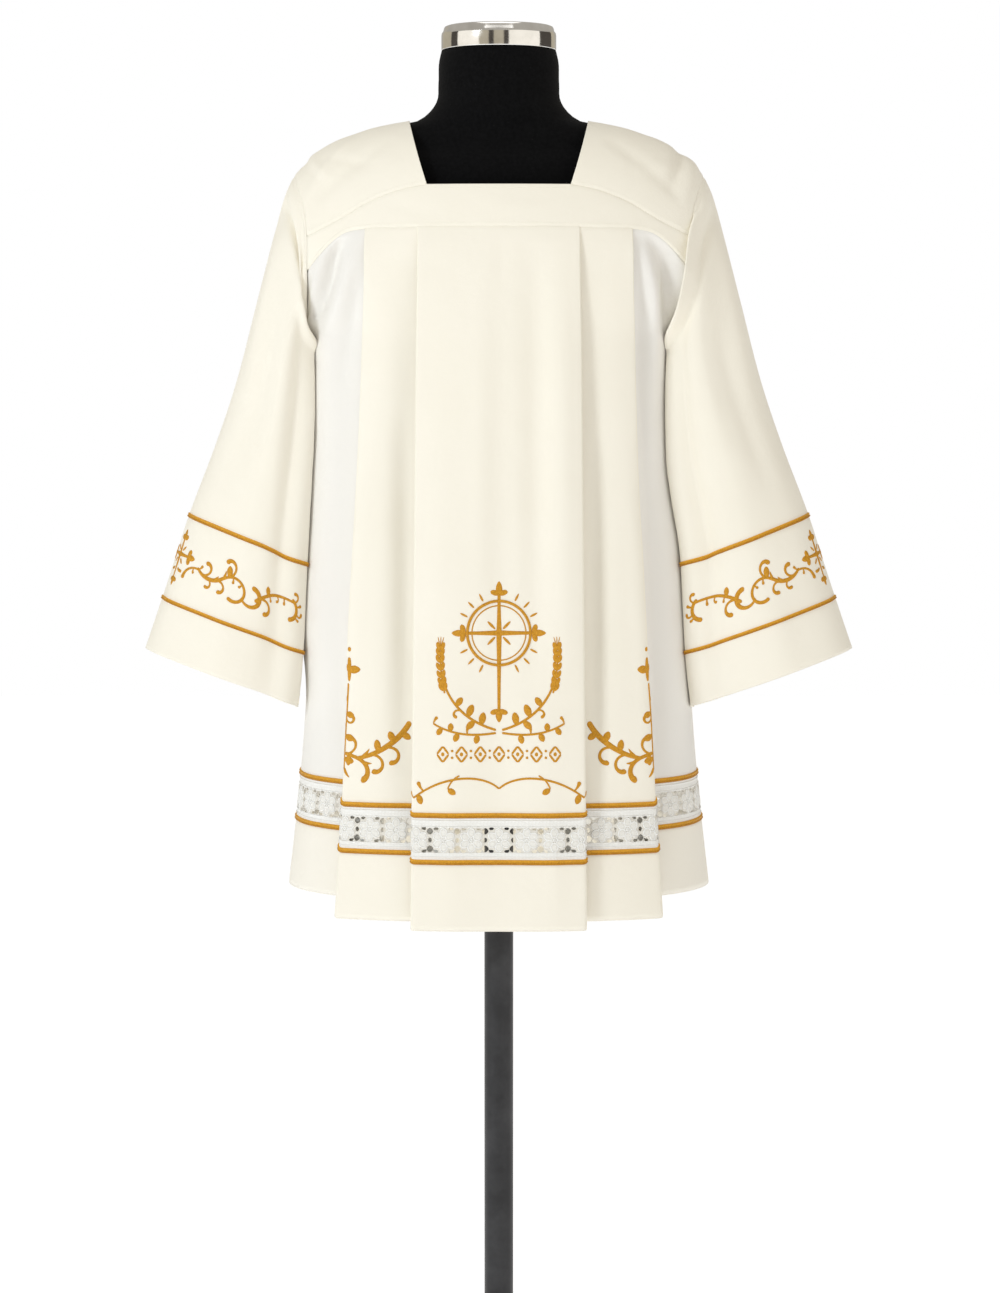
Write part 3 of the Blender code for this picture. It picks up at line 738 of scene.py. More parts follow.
def column_tops():
    """Height of the yoke seam at each column of one half."""
    lines = PLEAT_LINES["at_yoke"]
    start, end = (COLUMNS[name].astype(int) for name in ("start", "end"))
    return yoke_edge(mix(lines[start], lines[end], COLUMNS["share"]), "bottom")


def column_hems():
    """Height of the hem at each column of one half."""
    panel = HEM + np.interp(COLUMNS["layer"], HEM_RISE["layer"], HEM_RISE["rise"])
    return panel + SIDE_SEAM_RISE * COLUMNS["share"] * (COLUMNS["end"] == SIDE_LINE)


def line_across(line, fall, height):
    """Distance across of pleat lines; the side line follows the armhole and then the side seam."""
    flare = np.clip(fall, 0, 1) ** PLEAT_FLARE
    plain = mix(PLEAT_LINES["at_yoke"][line], PLEAT_LINES["at_hem"][line], flare)
    width, _ = ring_sizes(height)
    seam, _, _ = armhole(armhole_turn(height))
    side = np.where(height > UNDERARM, seam, width)
    return np.where(line == SIDE_LINE, side, plain)


def both_halves(half):
    """Rows of values from the middle out, joined to the same ones on the other side."""
    return np.concatenate([half[..., :0:-1], half], axis=-1)


def pleats(height, creases):
    """Middle of the cloth's wall, for rows of heights of every column of one half.

    Each column lies a share of the way between two pleat lines, by width at the yoke and by angle
    further down, and stands out of the body's ring by its layer times the gap between layers, plus
    its soft folds and creases, less a dip along the yoke seam and the side seam."""
    fall = (column_tops() - height) / (column_tops() - column_hems())
    gap = mix(LAYER_GAP_TOP, LAYER_GAP_HEM, fall)
    start, end = (COLUMNS[name].astype(int) for name in ("start", "end"))
    first = line_across(start, fall, height) + COLUMNS["first_nudge"] * gap / 2
    last = line_across(end, fall, height) + COLUMNS["last_nudge"] * gap / 2
    by_width = ring_angle(mix(first, last, COLUMNS["share"]), height)
    by_angle = mix(ring_angle(first, height), ring_angle(last, height), COLUMNS["share"])
    angle = mix(by_width, by_angle, np.clip(fall / UNDERARM_SHARE, 0, 1))
    across = np.sin(angle) ** (2 / BODY_SQUARENESS) * ring_sizes(height)[0]
    shape = bell(across[..., None] - SOFT_FOLDS["across"], SOFT_FOLDS["width"])
    proud = COLUMNS["layer"] * gap + np.sum(shape * in_thirds(SOFT_FOLDS, fall), axis=-1)
    below = column_tops() - height
    proud = proud + SEAM_PRESS * (yoke_proud(across) - proud) * bell(below, SEAM_EASE)
    proud = proud - SEAM_DIP * bell(below, SEAM_REACH) - SEAM_TUCK * ease(-below / SEAM_REACH)
    proud = proud - SEAM_DIP * (COLUMNS["share"] == 1)
    beside = COLUMNS["share"] * (COLUMNS["end"] == SIDE_LINE)
    fade = ease(below / SEAM_EASE) * ease(SIDE_FADE * (1 - beside))
    count = len(COLUMNS["share"])
    other_way = np.concatenate([-np.ones(count - 1), np.ones(count)])
    across, height = both_halves(across) * other_way, both_halves(height)
    layer = both_halves(COLUMNS["layer"])
    proud = both_halves(proud) + both_halves(fade) * relief(across, height, creases, layer)
    return ring_point(both_halves(angle) * other_way, height, proud)


def flat_uv(points):
    """Distances along and down a cloth, for its weave: those of its middle row and each column."""
    along = lengths(points, axis=1)[len(points) // 2]
    down = lengths(points, axis=0)
    return np.stack([along + 0 * down, down], axis=-1)


def pleated_wall(height, creases, place):
    """The closed wall of a length of cloth that follows the pleats."""
    middle = pleats(height, creases)
    normal = plan_facing(middle) * WALL / 2
    quads = grid_quads(*middle.shape[:2])
    return walled(place(middle + normal), place(middle - normal), quads, flat_uv(middle))


def between(grid, row, column):
    """Points of a grid at places between its rows and columns, mixed from the four round each."""
    row = np.clip(row, 0, grid.shape[0] - 1.001)
    column = np.clip(column, 0, grid.shape[1] - 1.001)
    i, j = row.astype(int), column.astype(int)
    down, over = (row - i)[..., None], (column - j)[..., None]
    above = mix(grid[i, j], grid[i, j + 1], over)
    return mix(above, mix(grid[i + 1, j], grid[i + 1, j + 1], over), down)


def pleated_face(low, high, creases, place):
    """The outer face of the pleats between two heights above the hem: a function from distances
    along the cloth from its middle, heights above the hem and rises off the cloth, to points.
    Beside it, the distances along of all columns."""
    rows = np.linspace(low, high, FACE_ROWS)
    middle = pleats(column_hems() + rows[:, None], creases)
    normal = plan_facing(middle)
    along = lengths(middle, axis=1)[0]
    along = along - along[-1] / 2

    def face(distance, above, rise):
        column = np.interp(distance, along, np.arange(len(along)))
        row = (above - low) / (high - low) * (FACE_ROWS - 1)
        out = (WALL / 2 + rise)[..., None]
        return place(between(middle, row, column) + out * between(normal, row, column))

    return face, along


# Profiles carried along paths on a cloth's face


def path_facing(path, closed=False):
    """Unit vectors to the left of a path on the flat."""
    if closed:
        steps = np.roll(path, -1, axis=0) - np.roll(path, 1, axis=0)
    else:
        steps = np.gradient(path, axis=0)
    steps = unit(steps)
    return np.stack([-steps[:, 1], steps[:, 0]], axis=-1)


def carried(face, path, aside, rise, closed=False, left=None):
    """A closed body: at each point of a path, a ring of points aside of it and off the cloth."""
    left = path_facing(path, closed) if left is None else left
    over = path[:, None] + left[:, None] * aside[..., None]
    sections = face(over[..., 0], over[..., 1], rise + 0 * aside)
    steps = np.linalg.norm(np.diff(path, axis=0), axis=-1)
    along = np.concatenate([[0], np.cumsum(steps)])[:, None]
    return tube(sections, np.stack([along + 0 * aside, aside], axis=-1), closed)


def cord(face, path, radius, closed=False):
    """A fine four-sided cord, sunk in the cloth by two thirds of its radius."""
    turn = np.arange(LACE_CORD_SIDES) * 2 * np.pi / LACE_CORD_SIDES
    aside = radius * np.cos(turn) + 0 * path[:, :1]
    return carried(face, path, aside, radius * (0.35 + np.sin(turn)) + 0 * aside, closed)


def satin(face, path, start, middle, end):
    """A satin-stitched stroke: its half width goes from start through middle to end as a quadratic,
    its ends are round, and its section is a half round whose height follows its width."""
    run = np.concatenate([[0], np.cumsum(np.linalg.norm(np.diff(path, axis=0), axis=-1))])
    share = run / run[-1]
    half = start * (1 - share) * (1 - 2 * share) + middle * 4 * share * (1 - share)
    half = half + end * share * (2 * share - 1)
    near = np.minimum(run / max(start, 0.4), (run[-1] - run) / max(end, 0.4))
    blunt = np.clip(near, 0, 1)
    half = np.maximum(half * np.sqrt(blunt * (2 - blunt)), 0.06)
    turn = np.linspace(0, np.pi, SATIN_SIDES - 2)
    aside = np.concatenate([np.cos(turn), [-0.9, 0.9]])
    lift = np.concatenate([np.sin(turn), [-0.35, -0.35]])
    height = SATIN_RISE * np.sqrt(half / np.maximum(half.max(), 0.8))
    return carried(face, path, aside * half[:, None], lift * height[:, None])


def eased_steps(length, step):
    """Shares along a stroke about a step apart, closer at its ends."""
    count = int(max(7, length / step))
    even = np.linspace(0, 1, count)
    return 0.6 * even + 0.4 * (1 - np.cos(np.pi * even)) / 2


def tendril(x, z, heading, length, turn, power):
    """A path that starts at a point with a heading and turns more and more, or less and less: its
    heading is the first one plus the turn times t^power. Angles are in degrees, anticlockwise."""
    fine = np.linspace(0, 1, TENDRIL_STEPS)
    way = np.radians(heading + turn * fine**power)
    xs = np.concatenate([[0], np.cumsum((np.cos(way[1:]) + np.cos(way[:-1])) / 2)])
    zs = np.concatenate([[0], np.cumsum((np.sin(way[1:]) + np.sin(way[:-1])) / 2)])
    at = eased_steps(length, STITCH_STEP)
    scale = length / (TENDRIL_STEPS - 1)
    return np.stack([x + scale * np.interp(at, fine, xs), z + scale * np.interp(at, fine, zs)], axis=-1)


def ring_path(x, z, radius, steps):
    """A closed round path."""
    turn = np.arange(steps) * 2 * np.pi / steps
    return np.stack([x + radius * np.cos(turn), z + radius * np.sin(turn)], axis=-1)


def level_path(along, above):
    """A path through distances along a cloth at one height."""
    return np.stack([along, 0 * along + above], axis=-1)


def kept(path):
    """A path on its own side."""
    return path


def flipped(path):
    """A path mirrored to the other side."""
    return path * (-1, 1)


# Yoke, shoulders and sleeves


def yoke_proud(across):
    """How far the yoke stands out of the ring, so that it covers the tops of the pleats."""
    return 4 * LAYER_GAP_TOP * (1 - ease(np.abs(across) / YOKE_SIDE))


def yoke_wall(creases, place):
    """The yoke band, from the neckline and the shoulder seams down to the pleats."""
    half = np.unique(np.concatenate([np.linspace(0, YOKE_SIDE, YOKE_COLUMNS), [NECK_CORNER]]))
    across = np.concatenate([-half[:0:-1], half])
    share = edged(YOKE_ROWS, 0.05, 3)[:, None]
    height = mix(yoke_edge(across, "top"), yoke_edge(across, "bottom"), share)
    across = across + 0 * height
    seam = armhole(armhole_turn(height[:, -1]))[0]
    across[:, -1], across[:, 0] = seam, -seam
    down = lengths(np.stack([0 * height, 0 * height, height], axis=-1), axis=0)
    off_seam = np.where(np.abs(across) > NECK_CORNER + 1, down, np.inf)
    dip = bell(off_seam, SEAM_REACH) + bell(down[-1] - down, SEAM_REACH)
    proud = yoke_proud(across) - SEAM_DIP * dip + relief(across, height, creases)
    middle = ring_point(ring_angle(across, height), height, proud)
    normal = plan_facing(middle) * WALL / 2
    quads = grid_quads(*middle.shape[:2])
    body = walled(place(middle + normal), place(middle - normal), quads, flat_uv(middle))
    seams = []
    for edge, reach in ((0, NECK_CORNER - 3), (1, YOKE_SIDE - 4)):
        column = np.flatnonzero(np.abs(across[0]) < reach)
        off = STITCH_OFF / down[-1, column]
        row = np.interp(1 - off if edge else off, share[:, 0], np.arange(len(share)))
        line = between(middle + normal, row, column)
        seams.append(stitches(place(line), place(between(normal, row, column))))
    return body, joined(seams)


def shoulder_middle(share, way):
    """A point of the left shoulder piece: an arch over the ridge for each share of the way from
    the neck corner to the armhole, with way going from -1 at the front seam to 1 at the back."""
    seam_across = mix(NECK_CORNER, YOKE_SIDE, share)
    seam_height = yoke_edge(seam_across, "top")
    seam_angle = ring_angle(seam_across, seam_height)
    seam_depth = -ring_point(seam_angle, seam_height, yoke_proud(seam_across))[..., 1]
    last_turn = armhole_turn(yoke_edge(np.array(YOKE_SIDE), "top"))
    turn = way * last_turn
    outwards = armhole(turn)[0] - armhole(last_turn)[0]
    across = seam_across + mix(NECK_SPREAD * (1 - way**2), outwards, share)
    ridge_across = seam_across + mix(NECK_SPREAD, armhole(0.0)[0] - armhole(last_turn)[0], share)
    ridge = smooth(ridge_across, RIDGE["across"], RIDGE["height"])
    fall = (1 - np.cos(turn)) / (1 - np.cos(last_turn))
    ahead = seam_depth * np.sin(turn) / np.sin(last_turn)
    return np.stack([across, ahead, ridge - (ridge - seam_height) * fall], axis=-1)


def shoulder_wall(creases, side):
    """A shoulder piece, with its creases and a dip along its three seams."""
    share = edged(SHOULDER_COLUMNS, 0.02, 3)
    way = -1 + 2 * edged(SHOULDER_ROWS, 0.01, 3)[:, None]
    middle = shoulder_middle(share + 0 * way, way + 0 * share)
    over, along = lengths(middle, axis=0), lengths(middle, axis=1)
    dip = bell(over, SEAM_REACH) + bell(over[-1] - over, SEAM_REACH)
    dip = dip + bell(along[:, -1:] - along, SEAM_REACH)
    proud = relief(along, over - over[-1] / 2, of_side(creases, side)) - SEAM_DIP * dip
    out = facing(middle)
    out = out * np.sign(out[..., 2:].mean())
    middle = middle + out * proud[..., None]
    outside, inside = ((middle + out * rise) * (side, 1, 1) for rise in (WALL / 2, -WALL / 2))
    uv = np.stack([along, over], axis=-1)
    body = walled(outside, inside, grid_quads(*middle.shape[:2]), uv)
    column = np.arange(2, share.shape[-1] - 2)
    seams = []
    for edge in (0, 1):
        off = STITCH_OFF / over[-1, column]
        row = np.interp(1 - off if edge else off, (way[:, 0] + 1) / 2, np.arange(len(way)))
        facing_out = between(out, row, column) * (side, 1, 1)
        seams.append(stitches(between(outside, row, column), facing_out))
    return body, joined(seams)


def beside_body(points):
    """Distance across to the side of the body, level with each point."""
    depth = smooth(points[..., 2], BODY["height"], BODY["half_depth"])
    width = smooth(points[..., 2], BODY["height"], BODY["half_width"])
    room = np.clip(1 - (np.abs(points[..., 1]) / depth) ** BODY_SQUARENESS, 0, 1)
    return width * room ** (1 / BODY_SQUARENESS)


def sleeve_plain(angle, ring):
    """The left sleeve with no folds: ovals between an outer fold and an inner line, blunter on the
    inner half. Angles go from the outer fold round the front; rings count down from the armhole,
    whose seam the first ones follow."""
    angle, ring = np.broadcast_arrays(angle, ring)
    rows = np.arange(LAST_RING + 1.0)
    at = {name: smooth(ring, rows, values) for name, values in SLEEVE.items()}
    outer = np.stack([at["outer_x"], at["outer_y"], at["outer_z"]], axis=-1)
    inner = np.stack([at["inner_x"], at["inner_y"], at["inner_z"]], axis=-1)
    blunt = np.where(np.cos(angle) < 0, SLEEVE_INNER_POWER, 1)
    cosine = (np.sign(np.cos(angle)) * np.abs(np.cos(angle)) ** blunt)[..., None]
    points = (outer + inner) / 2 + (outer - inner) / 2 * cosine
    points[..., 1] -= at["half_depth"] * np.sin(angle)
    turn = np.abs((angle + np.pi) % (2 * np.pi) - np.pi)
    across, ahead, height = armhole(turn)
    seam = np.stack([across, ahead * np.where(np.sin(angle) < 0, -1, 1), height], axis=-1)
    top, low = (np.array([SLEEVE[f"{end}_{axis}"][0] for axis in "xyz"]) for end in ("outer", "inner"))
    first = (top + low) / 2 + (top - low) / 2 * cosine
    first[..., 1] -= SLEEVE["half_depth"][0] * np.sin(angle)
    return points + (seam - first) * ((1 - ring / LAST_RING) ** 3)[..., None]


def sleeve_facing(angle, ring, surface, *side):
    """Outward unit vectors of a sleeve's surface, from small steps round it and down it."""
    step = 0.02
    low, high = np.clip(ring - step, 0, LAST_RING), np.clip(ring + step, 0, LAST_RING)
    round_it = surface(angle + step, ring, *side) - surface(angle - step, ring, *side)
    return unit(np.cross(round_it, surface(angle, high, *side) - surface(angle, low, *side)))


def sleeve_down(ring):
    """Distance down a sleeve's cloth from the armhole to a ring."""
    return np.interp(ring, np.arange(LAST_RING + 1), SLEEVE["down"])


def of_side(creases, side):
    """The rows of a table of creases that one side has."""
    mine = creases["side"] * side >= 0
    return {name: values[mine] for name, values in creases.items()}


def sleeve_creases(angle, ring, creases):
    """Creases on a sleeve, laid flat by degrees round it and distance down it: along each a bell
    across it, whose depth rises and falls as sin(pi t) from one end to the other."""
    degrees = np.degrees(angle)[..., None]
    a1, r1, a2, r2 = (creases[name] for name in ("a1", "r1", "a2", "r2"))
    run_x, run_y = (a2 - a1) * SLEEVE_MM_PER_DEGREE, sleeve_down(r2) - sleeve_down(r1)
    run = np.hypot(run_x, run_y)
    off_x = ((degrees - (a1 + a2) / 2 + 180) % 360 - 180) * SLEEVE_MM_PER_DEGREE + run_x / 2
    off_y = sleeve_down(ring)[..., None] - sleeve_down(r1)
    along = np.clip((off_x * run_x + off_y * run_y) / run**2, 0, 1)
    aside = (off_x * run_y - off_y * run_x) / run
    strength = creases["depth"] * np.sin(np.pi * along) ** 0.7
    return np.sum(strength * bell(aside, creases["width"]), axis=-1)


def sleeve_relief(angle, ring, side):
    """How proud a sleeve is of its plain form: long folds in bells round it, and creases."""
    off = (np.degrees(angle)[..., None] - SLEEVE_FOLDS["angle"] + 180) % 360 - 180
    folds = np.sum(bell(off, SLEEVE_FOLDS["width"]) * in_thirds(SLEEVE_FOLDS, ring / LAST_RING), axis=-1)
    folds = folds + sleeve_creases(angle, ring, of_side(SLEEVE_CREASES, side))
    return folds * ease(ring / SLEEVE_FOLDS_EASE) - SEAM_DIP * bell(sleeve_down(ring), SEAM_REACH)


def sleeve_middle(angle, ring, side):
    """A sleeve, as if it were the left one: its plain form moved out by its folds, lapped over its
    seam, and kept off the body's side."""
    angle, ring = np.broadcast_arrays(angle, ring)
    points = sleeve_plain(angle, ring)
    proud = sleeve_relief(angle, ring, side)[..., None]
    points = points + sleeve_facing(angle, ring, sleeve_plain) * proud
    lap = sleeve_creases(angle, ring, of_side(SLEEVE_LAPS, side))
    lap = lap * ease(sleeve_down(ring) / SLEEVE_LAPS_EASE)
    points = points - lap[..., None] * (1, LAP_AHEAD[side], 0)
    least = beside_body(points) + SLEEVE_CLEARANCE
    off = points[..., 0] - least
    kept_off = least + (off + np.sqrt(off**2 + SLEEVE_ROUNDING**2)) / 2
    points[..., 0] = mix(points[..., 0], kept_off, ease(ring / SLEEVE_CLEARANCE_EASE))
    return points


def sleeve_wall(side):
    """One sleeve, open at the armhole and at the cuff."""
    angle = np.arange(SLEEVE_SIDES) * 2 * np.pi / SLEEVE_SIDES - np.pi
    fine = np.arange(SLEEVE_FINE_FROM, SLEEVE_FINE_TO, SLEEVE_FINE_STEP)
    even = np.linspace(SLEEVE_FINE_TO, LAST_RING, SLEEVE_ROWS)
    ring = np.concatenate([SLEEVE_FIRST_ROWS, fine, even])[:, None]
    middle = sleeve_middle(angle, ring, side)
    normal = sleeve_facing(angle, ring + 0 * angle, sleeve_middle, side) * WALL / 2
    middle, normal = middle * (side, 1, 1), normal * (side, 1, 1)
    outside, inside = (leaned(middle + normal * way, SLEEVE_LEAN_LOW) for way in (1, -1))
    column = np.arange(SLEEVE_SIDES + 1)
    row = np.interp(STITCH_OFF, sleeve_down(ring[:, 0]), np.arange(len(ring))) + 0 * column
    looped = (np.concatenate([grid, grid[:, :1]], axis=1) for grid in (outside, normal))
    seam = stitches(*(between(grid, row, column) for grid in looped))
    around = SLEEVE_FLAT_WIDTH * angle / (2 * np.pi)
    uv = np.stack([around + 0 * ring, sleeve_down(ring) + 0 * angle], axis=-1)
    return walled(outside, inside, grid_quads(*middle.shape[:2], round_about=True), uv), seam


def sleeve_face(side):
    """The outer face of a sleeve: a function from distances round it from the outer fold, heights
    above the lower braid and rises off the cloth, to points. Beside it, the distance all round."""
    angle = np.linspace(-np.pi, np.pi, 4 * SLEEVE_SIDES + 1)
    ring = np.linspace(UPPER_BRAID_RING - 0.2, LOWER_BRAID_RING + 0.2, SLEEVE_FACE_ROWS)[:, None]
    middle = sleeve_middle(angle, ring, side)
    normal = sleeve_facing(angle, ring + 0 * angle, sleeve_middle, side)
    around = lengths(middle, axis=1)[len(ring) // 2]
    around = around - around[-1] / 2

    def face(distance, above, rise):
        column = np.interp(distance, around, np.arange(len(around)))
        at_ring = LOWER_BRAID_RING - above / SLEEVE_BAND
        row = np.interp(at_ring, ring[:, 0], np.arange(len(ring)))
        out = (WALL / 2 + rise)[..., None] * between(normal, row, column)
        return leaned((between(middle, row, column) + out) * (side, 1, 1), SLEEVE_LEAN_LOW)

    return face, 2 * around[-1]


# Lace, braids and stitches


def lace_gap(distance, above):
    """The gap each place of the lace is in or by: its middle, and how far out of it the place is, as
    (|x/a|^q + |z/b|^q)^(1/q), one on its edge."""
    aside = (distance + LACE_REPEAT) % LACE_REPEAT - LACE_REPEAT / 2
    off_x = aside[..., None] - LACE_GAPS["aside"]
    off_z = (above - LACE_MIDDLE)[..., None] - LACE_GAPS["above"]
    squareness = LACE_GAPS["squareness"]
    out_x = np.abs(off_x / LACE_GAPS["half_width"]) ** squareness
    out = (out_x + np.abs(off_z / LACE_GAPS["half_height"]) ** squareness) ** (1 / squareness)
    nearest = np.argmin(out, axis=-1)[..., None]
    off = [np.take_along_axis(value, nearest, axis=-1)[..., 0] for value in (off_x, off_z)]
    return off, np.take_along_axis(out, nearest, axis=-1)[..., 0]


def petal_rise(distance, above):
    """How proud the lace is: domed petals round the middle of each flower, and a button."""
    x = (distance + LACE_REPEAT / 2) % LACE_REPEAT - LACE_REPEAT / 2
    z = above - LACE_MIDDLE
    turn = (np.pi / 2 + np.arange(PETALS) * 2 * np.pi / PETALS).reshape(-1, 1)
    along = x * np.cos(turn) + z * np.sin(turn) - PETAL_REACH
    across = z * np.cos(turn) - x * np.sin(turn)
    dome = 1 - (along / PETAL_HALF_LENGTH) ** 2 - (across / PETAL_HALF_WIDTH) ** 2
    button = BUTTON_RISE * bell(np.hypot(x, z), BUTTON_WIDTH)
    return PETAL_RISE * np.sqrt(np.clip(dome.max(axis=0), 0, 1)) + button


def lace_net(face, half_length):
    """The lace's ground as a wall: a grid with the quads in gaps left out, and the points round each
    gap moved onto its edge."""
    repeats = half_length / LACE_REPEAT
    along = np.linspace(-half_length, half_length, int(2 * repeats * LACE_CELLS) + 1)
    above = np.linspace(LOWER_SEAM, UPPER_SEAM, LACE_ROWS)
    distance, height = (grid.ravel() for grid in np.meshgrid(along, above))
    quads = grid_quads(len(above), len(along))
    _, out = lace_gap(distance[quads].mean(axis=1), height[quads].mean(axis=1))
    cut = (out < 1) & (np.abs(distance[quads]).max(axis=1) < half_length - 2)
    (off_x, off_z), out = lace_gap(distance, height)
    edge = np.intersect1d(quads[cut], quads[~cut])
    distance[edge] += off_x[edge] * (1 / out[edge] - 1)
    height[edge] += off_z[edge] * (1 / out[edge] - 1)
    used, quads = np.unique(quads[~cut], return_inverse=True)
    distance, height = distance[used], height[used]
    rise = petal_rise(distance, height)
    outside, inside = face(distance, height, rise), face(distance, height, 0 * rise - LACE_THICKNESS)
    return walled(outside, inside, quads.reshape(-1, 4), np.stack([distance, height], axis=-1))


def lace_cords(face, half_length):
    """Cords round the petals of every flower, a button in it, and cords along the openwork."""
    parts = []
    loop, button = ring_path(0, 0, 1, steps=12), ring_path(0, 0, 1.3, steps=8)
    for flower in np.arange(np.ceil(-half_length / LACE_REPEAT), half_length // LACE_REPEAT + 1):
        middle = np.array([flower * LACE_REPEAT, LACE_MIDDLE])
        if abs(middle[0]) > half_length - (PETAL_REACH + PETAL_HALF_LENGTH + 0.6):
            continue
        for turn in np.pi / 2 + np.arange(PETALS) * 2 * np.pi / PETALS:
            ahead, aside = np.array([np.cos(turn), np.sin(turn)]), np.array([-np.sin(turn), np.cos(turn)])
            path = middle + ahead * (PETAL_REACH + PETAL_HALF_LENGTH * loop[:, :1])
            path = path + aside * PETAL_HALF_WIDTH * loop[:, 1:]
            parts.append(cord(face, path, PETAL_CORD, closed=True))
        parts.append(cord(face, middle + button, BUTTON_CORD, closed=True))
    along = np.arange(-half_length, half_length, LACE_CORD_STEP)
    parts += [cord(face, level_path(along, above), LINE_CORD) for above in LACE_LINES]
    return joined(parts)


def braid(face, path, closed=False):
    """A flat braid of two soft ribs: the section rises as sqrt(1 - u^2), with a groove between."""
    share = np.linspace(1, -1, BRAID_SIDES - 2)
    top = BRAID_RISE * (1 - share**4) ** 0.5 * (0.74 + 0.26 * np.cos(2 * np.pi * (share**2 - 0.36)))
    aside = np.concatenate([share * BRAID_WIDTH / 2, [-BRAID_WIDTH / 2, BRAID_WIDTH / 2]])
    rise = np.concatenate([top + BRAID_LIFT, [-BRAID_LIFT, -BRAID_LIFT]])
    wide = 0 * path[:, :1]
    return carried(face, path, aside + wide, rise + wide, closed, path_facing(path))


def stitches(line, out):
    """A row of stitches along a line on a cloth: short four-sided threads that arch off it along its
    normals, laid end to end with gaps between."""
    run = np.concatenate([[0], np.cumsum(np.linalg.norm(np.diff(line, axis=0), axis=-1))])
    starts = np.arange(STITCH_PITCH / 2, run[-1] - STITCH_LENGTH, STITCH_PITCH)
    at = starts[:, None] + np.array([0, 0.25, 0.75, 1]) * STITCH_LENGTH
    spots = np.stack([np.interp(at, run, line[:, i]) for i in range(3)], axis=-1)
    off = unit(np.stack([np.interp(at, run, out[:, i]) for i in range(3)], axis=-1))
    left = unit(np.cross(off, (spots[:, -1] - spots[:, 0])[:, None]))
    thick = np.array([0.5, 1, 1, 0.5])[:, None] * STITCH_HALF
    arch = np.array([0, 1, 1, 0])[:, None] * STITCH_ARCH
    aside = (thick * np.array([1, 0, -1, 0]))[..., None]
    rise = (thick * np.array([0, 1, 0, -1]) + arch)[..., None]
    sections = spots[:, :, None] + left[:, :, None] * aside + off[:, :, None] * rise
    uv = np.stack([at[..., None] + 0 * aside[..., 0], aside[..., 0] + 0 * at[..., None]], axis=-1)
    return joined([tube(section, flat) for section, flat in zip(sections, uv)])


# Embroidery


# A stroke's start, heading, length, whole turn, the power its turn grows with, and half widths; and a
# sprig's stem, where on it and on which side it grows, its kind and its size
STROKE = "x z heading length turn power start middle end"
SPRIG = "stem share side kind size"
# What grows from a stem: it leaves the stem with a lean to one side and turns on to that side
CURL, LEAF, BUD, TIP = range(4)
SPRIG_KINDS = table(
    "lean length turn power start middle end",
    (28, 26, 215, 1.5, 1.4, 1.45, 2.8),
    (72, 10, 6, 1.0, 1.0, 3.4, 0.9),
    (70, 8, 40, 1.0, 0.8, 1.2, 2.5),
    (24, 9, 25, 1.0, 1.8, 1.4, 0.3),
)
# A sleeve's scroll, on the half at the front: distance from its outer fold and height above the hem
SLEEVE_STEMS = table(
    STROKE,
    (58, 48, -46, 40, 96, 1.0, 1.2, 2.2, 1.6),
    (91, 46, 42, 60, -262, 1.3, 1.6, 1.5, 2.2),
    (115, 35, -62, 45, 248, 1.1, 1.0, 2.3, 2.6),
    (130, 35.5, 44, 61, -58, 1.0, 2.0, 1.6, 1.3),
    (182, 54, -34, 30, -150, 1.2, 1.8, 2.0, 2.6),
    (61, 46, 172, 29, 104, 1.3, 1.3, 1.3, 2.8),
)
SLEEVE_SPRIGS = table(
    SPRIG,
    (0, 0.06, 1, BUD, 0.9),
    (0, 0.24, 1, CURL, 0.95),
    (0, 0.45, -1, CURL, 0.62),
    (0, 0.62, 1, TIP, 0.9),
    (0, 0.74, -1, CURL, 0.85),
    (0, 0.95, 1, TIP, 0.9),
    (1, 0.14, 1, LEAF, 1.15),
    (1, 0.17, 1, CURL, 1.1),
    (1, 0.22, -1, BUD, 0.85),
    (1, 0.42, -1, BUD, 0.75),
    (3, 0.13, -1, CURL, 1.15),
    (3, 0.33, 1, LEAF, 0.95),
    (3, 0.36, -1, BUD, 0.9),
    (3, 0.55, -1, CURL, 0.42),
    (3, 0.74, -1, BUD, 1.0),
    (3, 0.97, 1, CURL, 0.62),
    (4, 0.3, 1, BUD, 1.0),
    (4, 0.5, 1, CURL, 0.5),
    (4, 0.66, 1, BUD, 0.9),
    (5, 0.28, 1, BUD, 0.8),
)
# The cross of a sleeve's front: its post, and then the half at its right
CROSS_ASIDE = 24.0
CUFF_POST = table(
    STROKE,
    (0, 54, 90, 20, 0, 1.0, 2.6, 1.7, 1.5),
    (0, 54, -90, 27, 0, 1.0, 2.6, 1.7, 1.3),
    (0, 70, 90, 10.5, 0, 1.0, 1.8, 3.2, 0.6),
    (0, 29, -90, 10, 0, 1.0, 1.8, 3.0, 0.6),
)
CUFF_ARM = table(
    STROKE,
    (0, 54, 0, 19, 0, 1.0, 2.6, 1.7, 1.5),
    (0, 71, 15, 8.5, -10, 1.0, 1.4, 2.9, 1.3),
    (0, 28, -20, 8, 10, 1.0, 1.4, 2.6, 1.3),
    (17, 54, 0, 10.5, 0, 1.0, 1.8, 3.2, 0.6),
    (17, 54, 68, 8.5, 10, 1.0, 1.4, 2.9, 1.3),
    (17, 54, -68, 8.5, -10, 1.0, 1.4, 2.9, 1.3),
    (4, 58, 45, 7.5, 0, 1.0, 0.6, 1.2, 0.5),
    (4, 50, -45, 7.5, 0, 1.0, 0.6, 1.2, 0.5),
    (4, 40, -48, 10, 70, 1.0, 1.0, 1.6, 1.7),
)
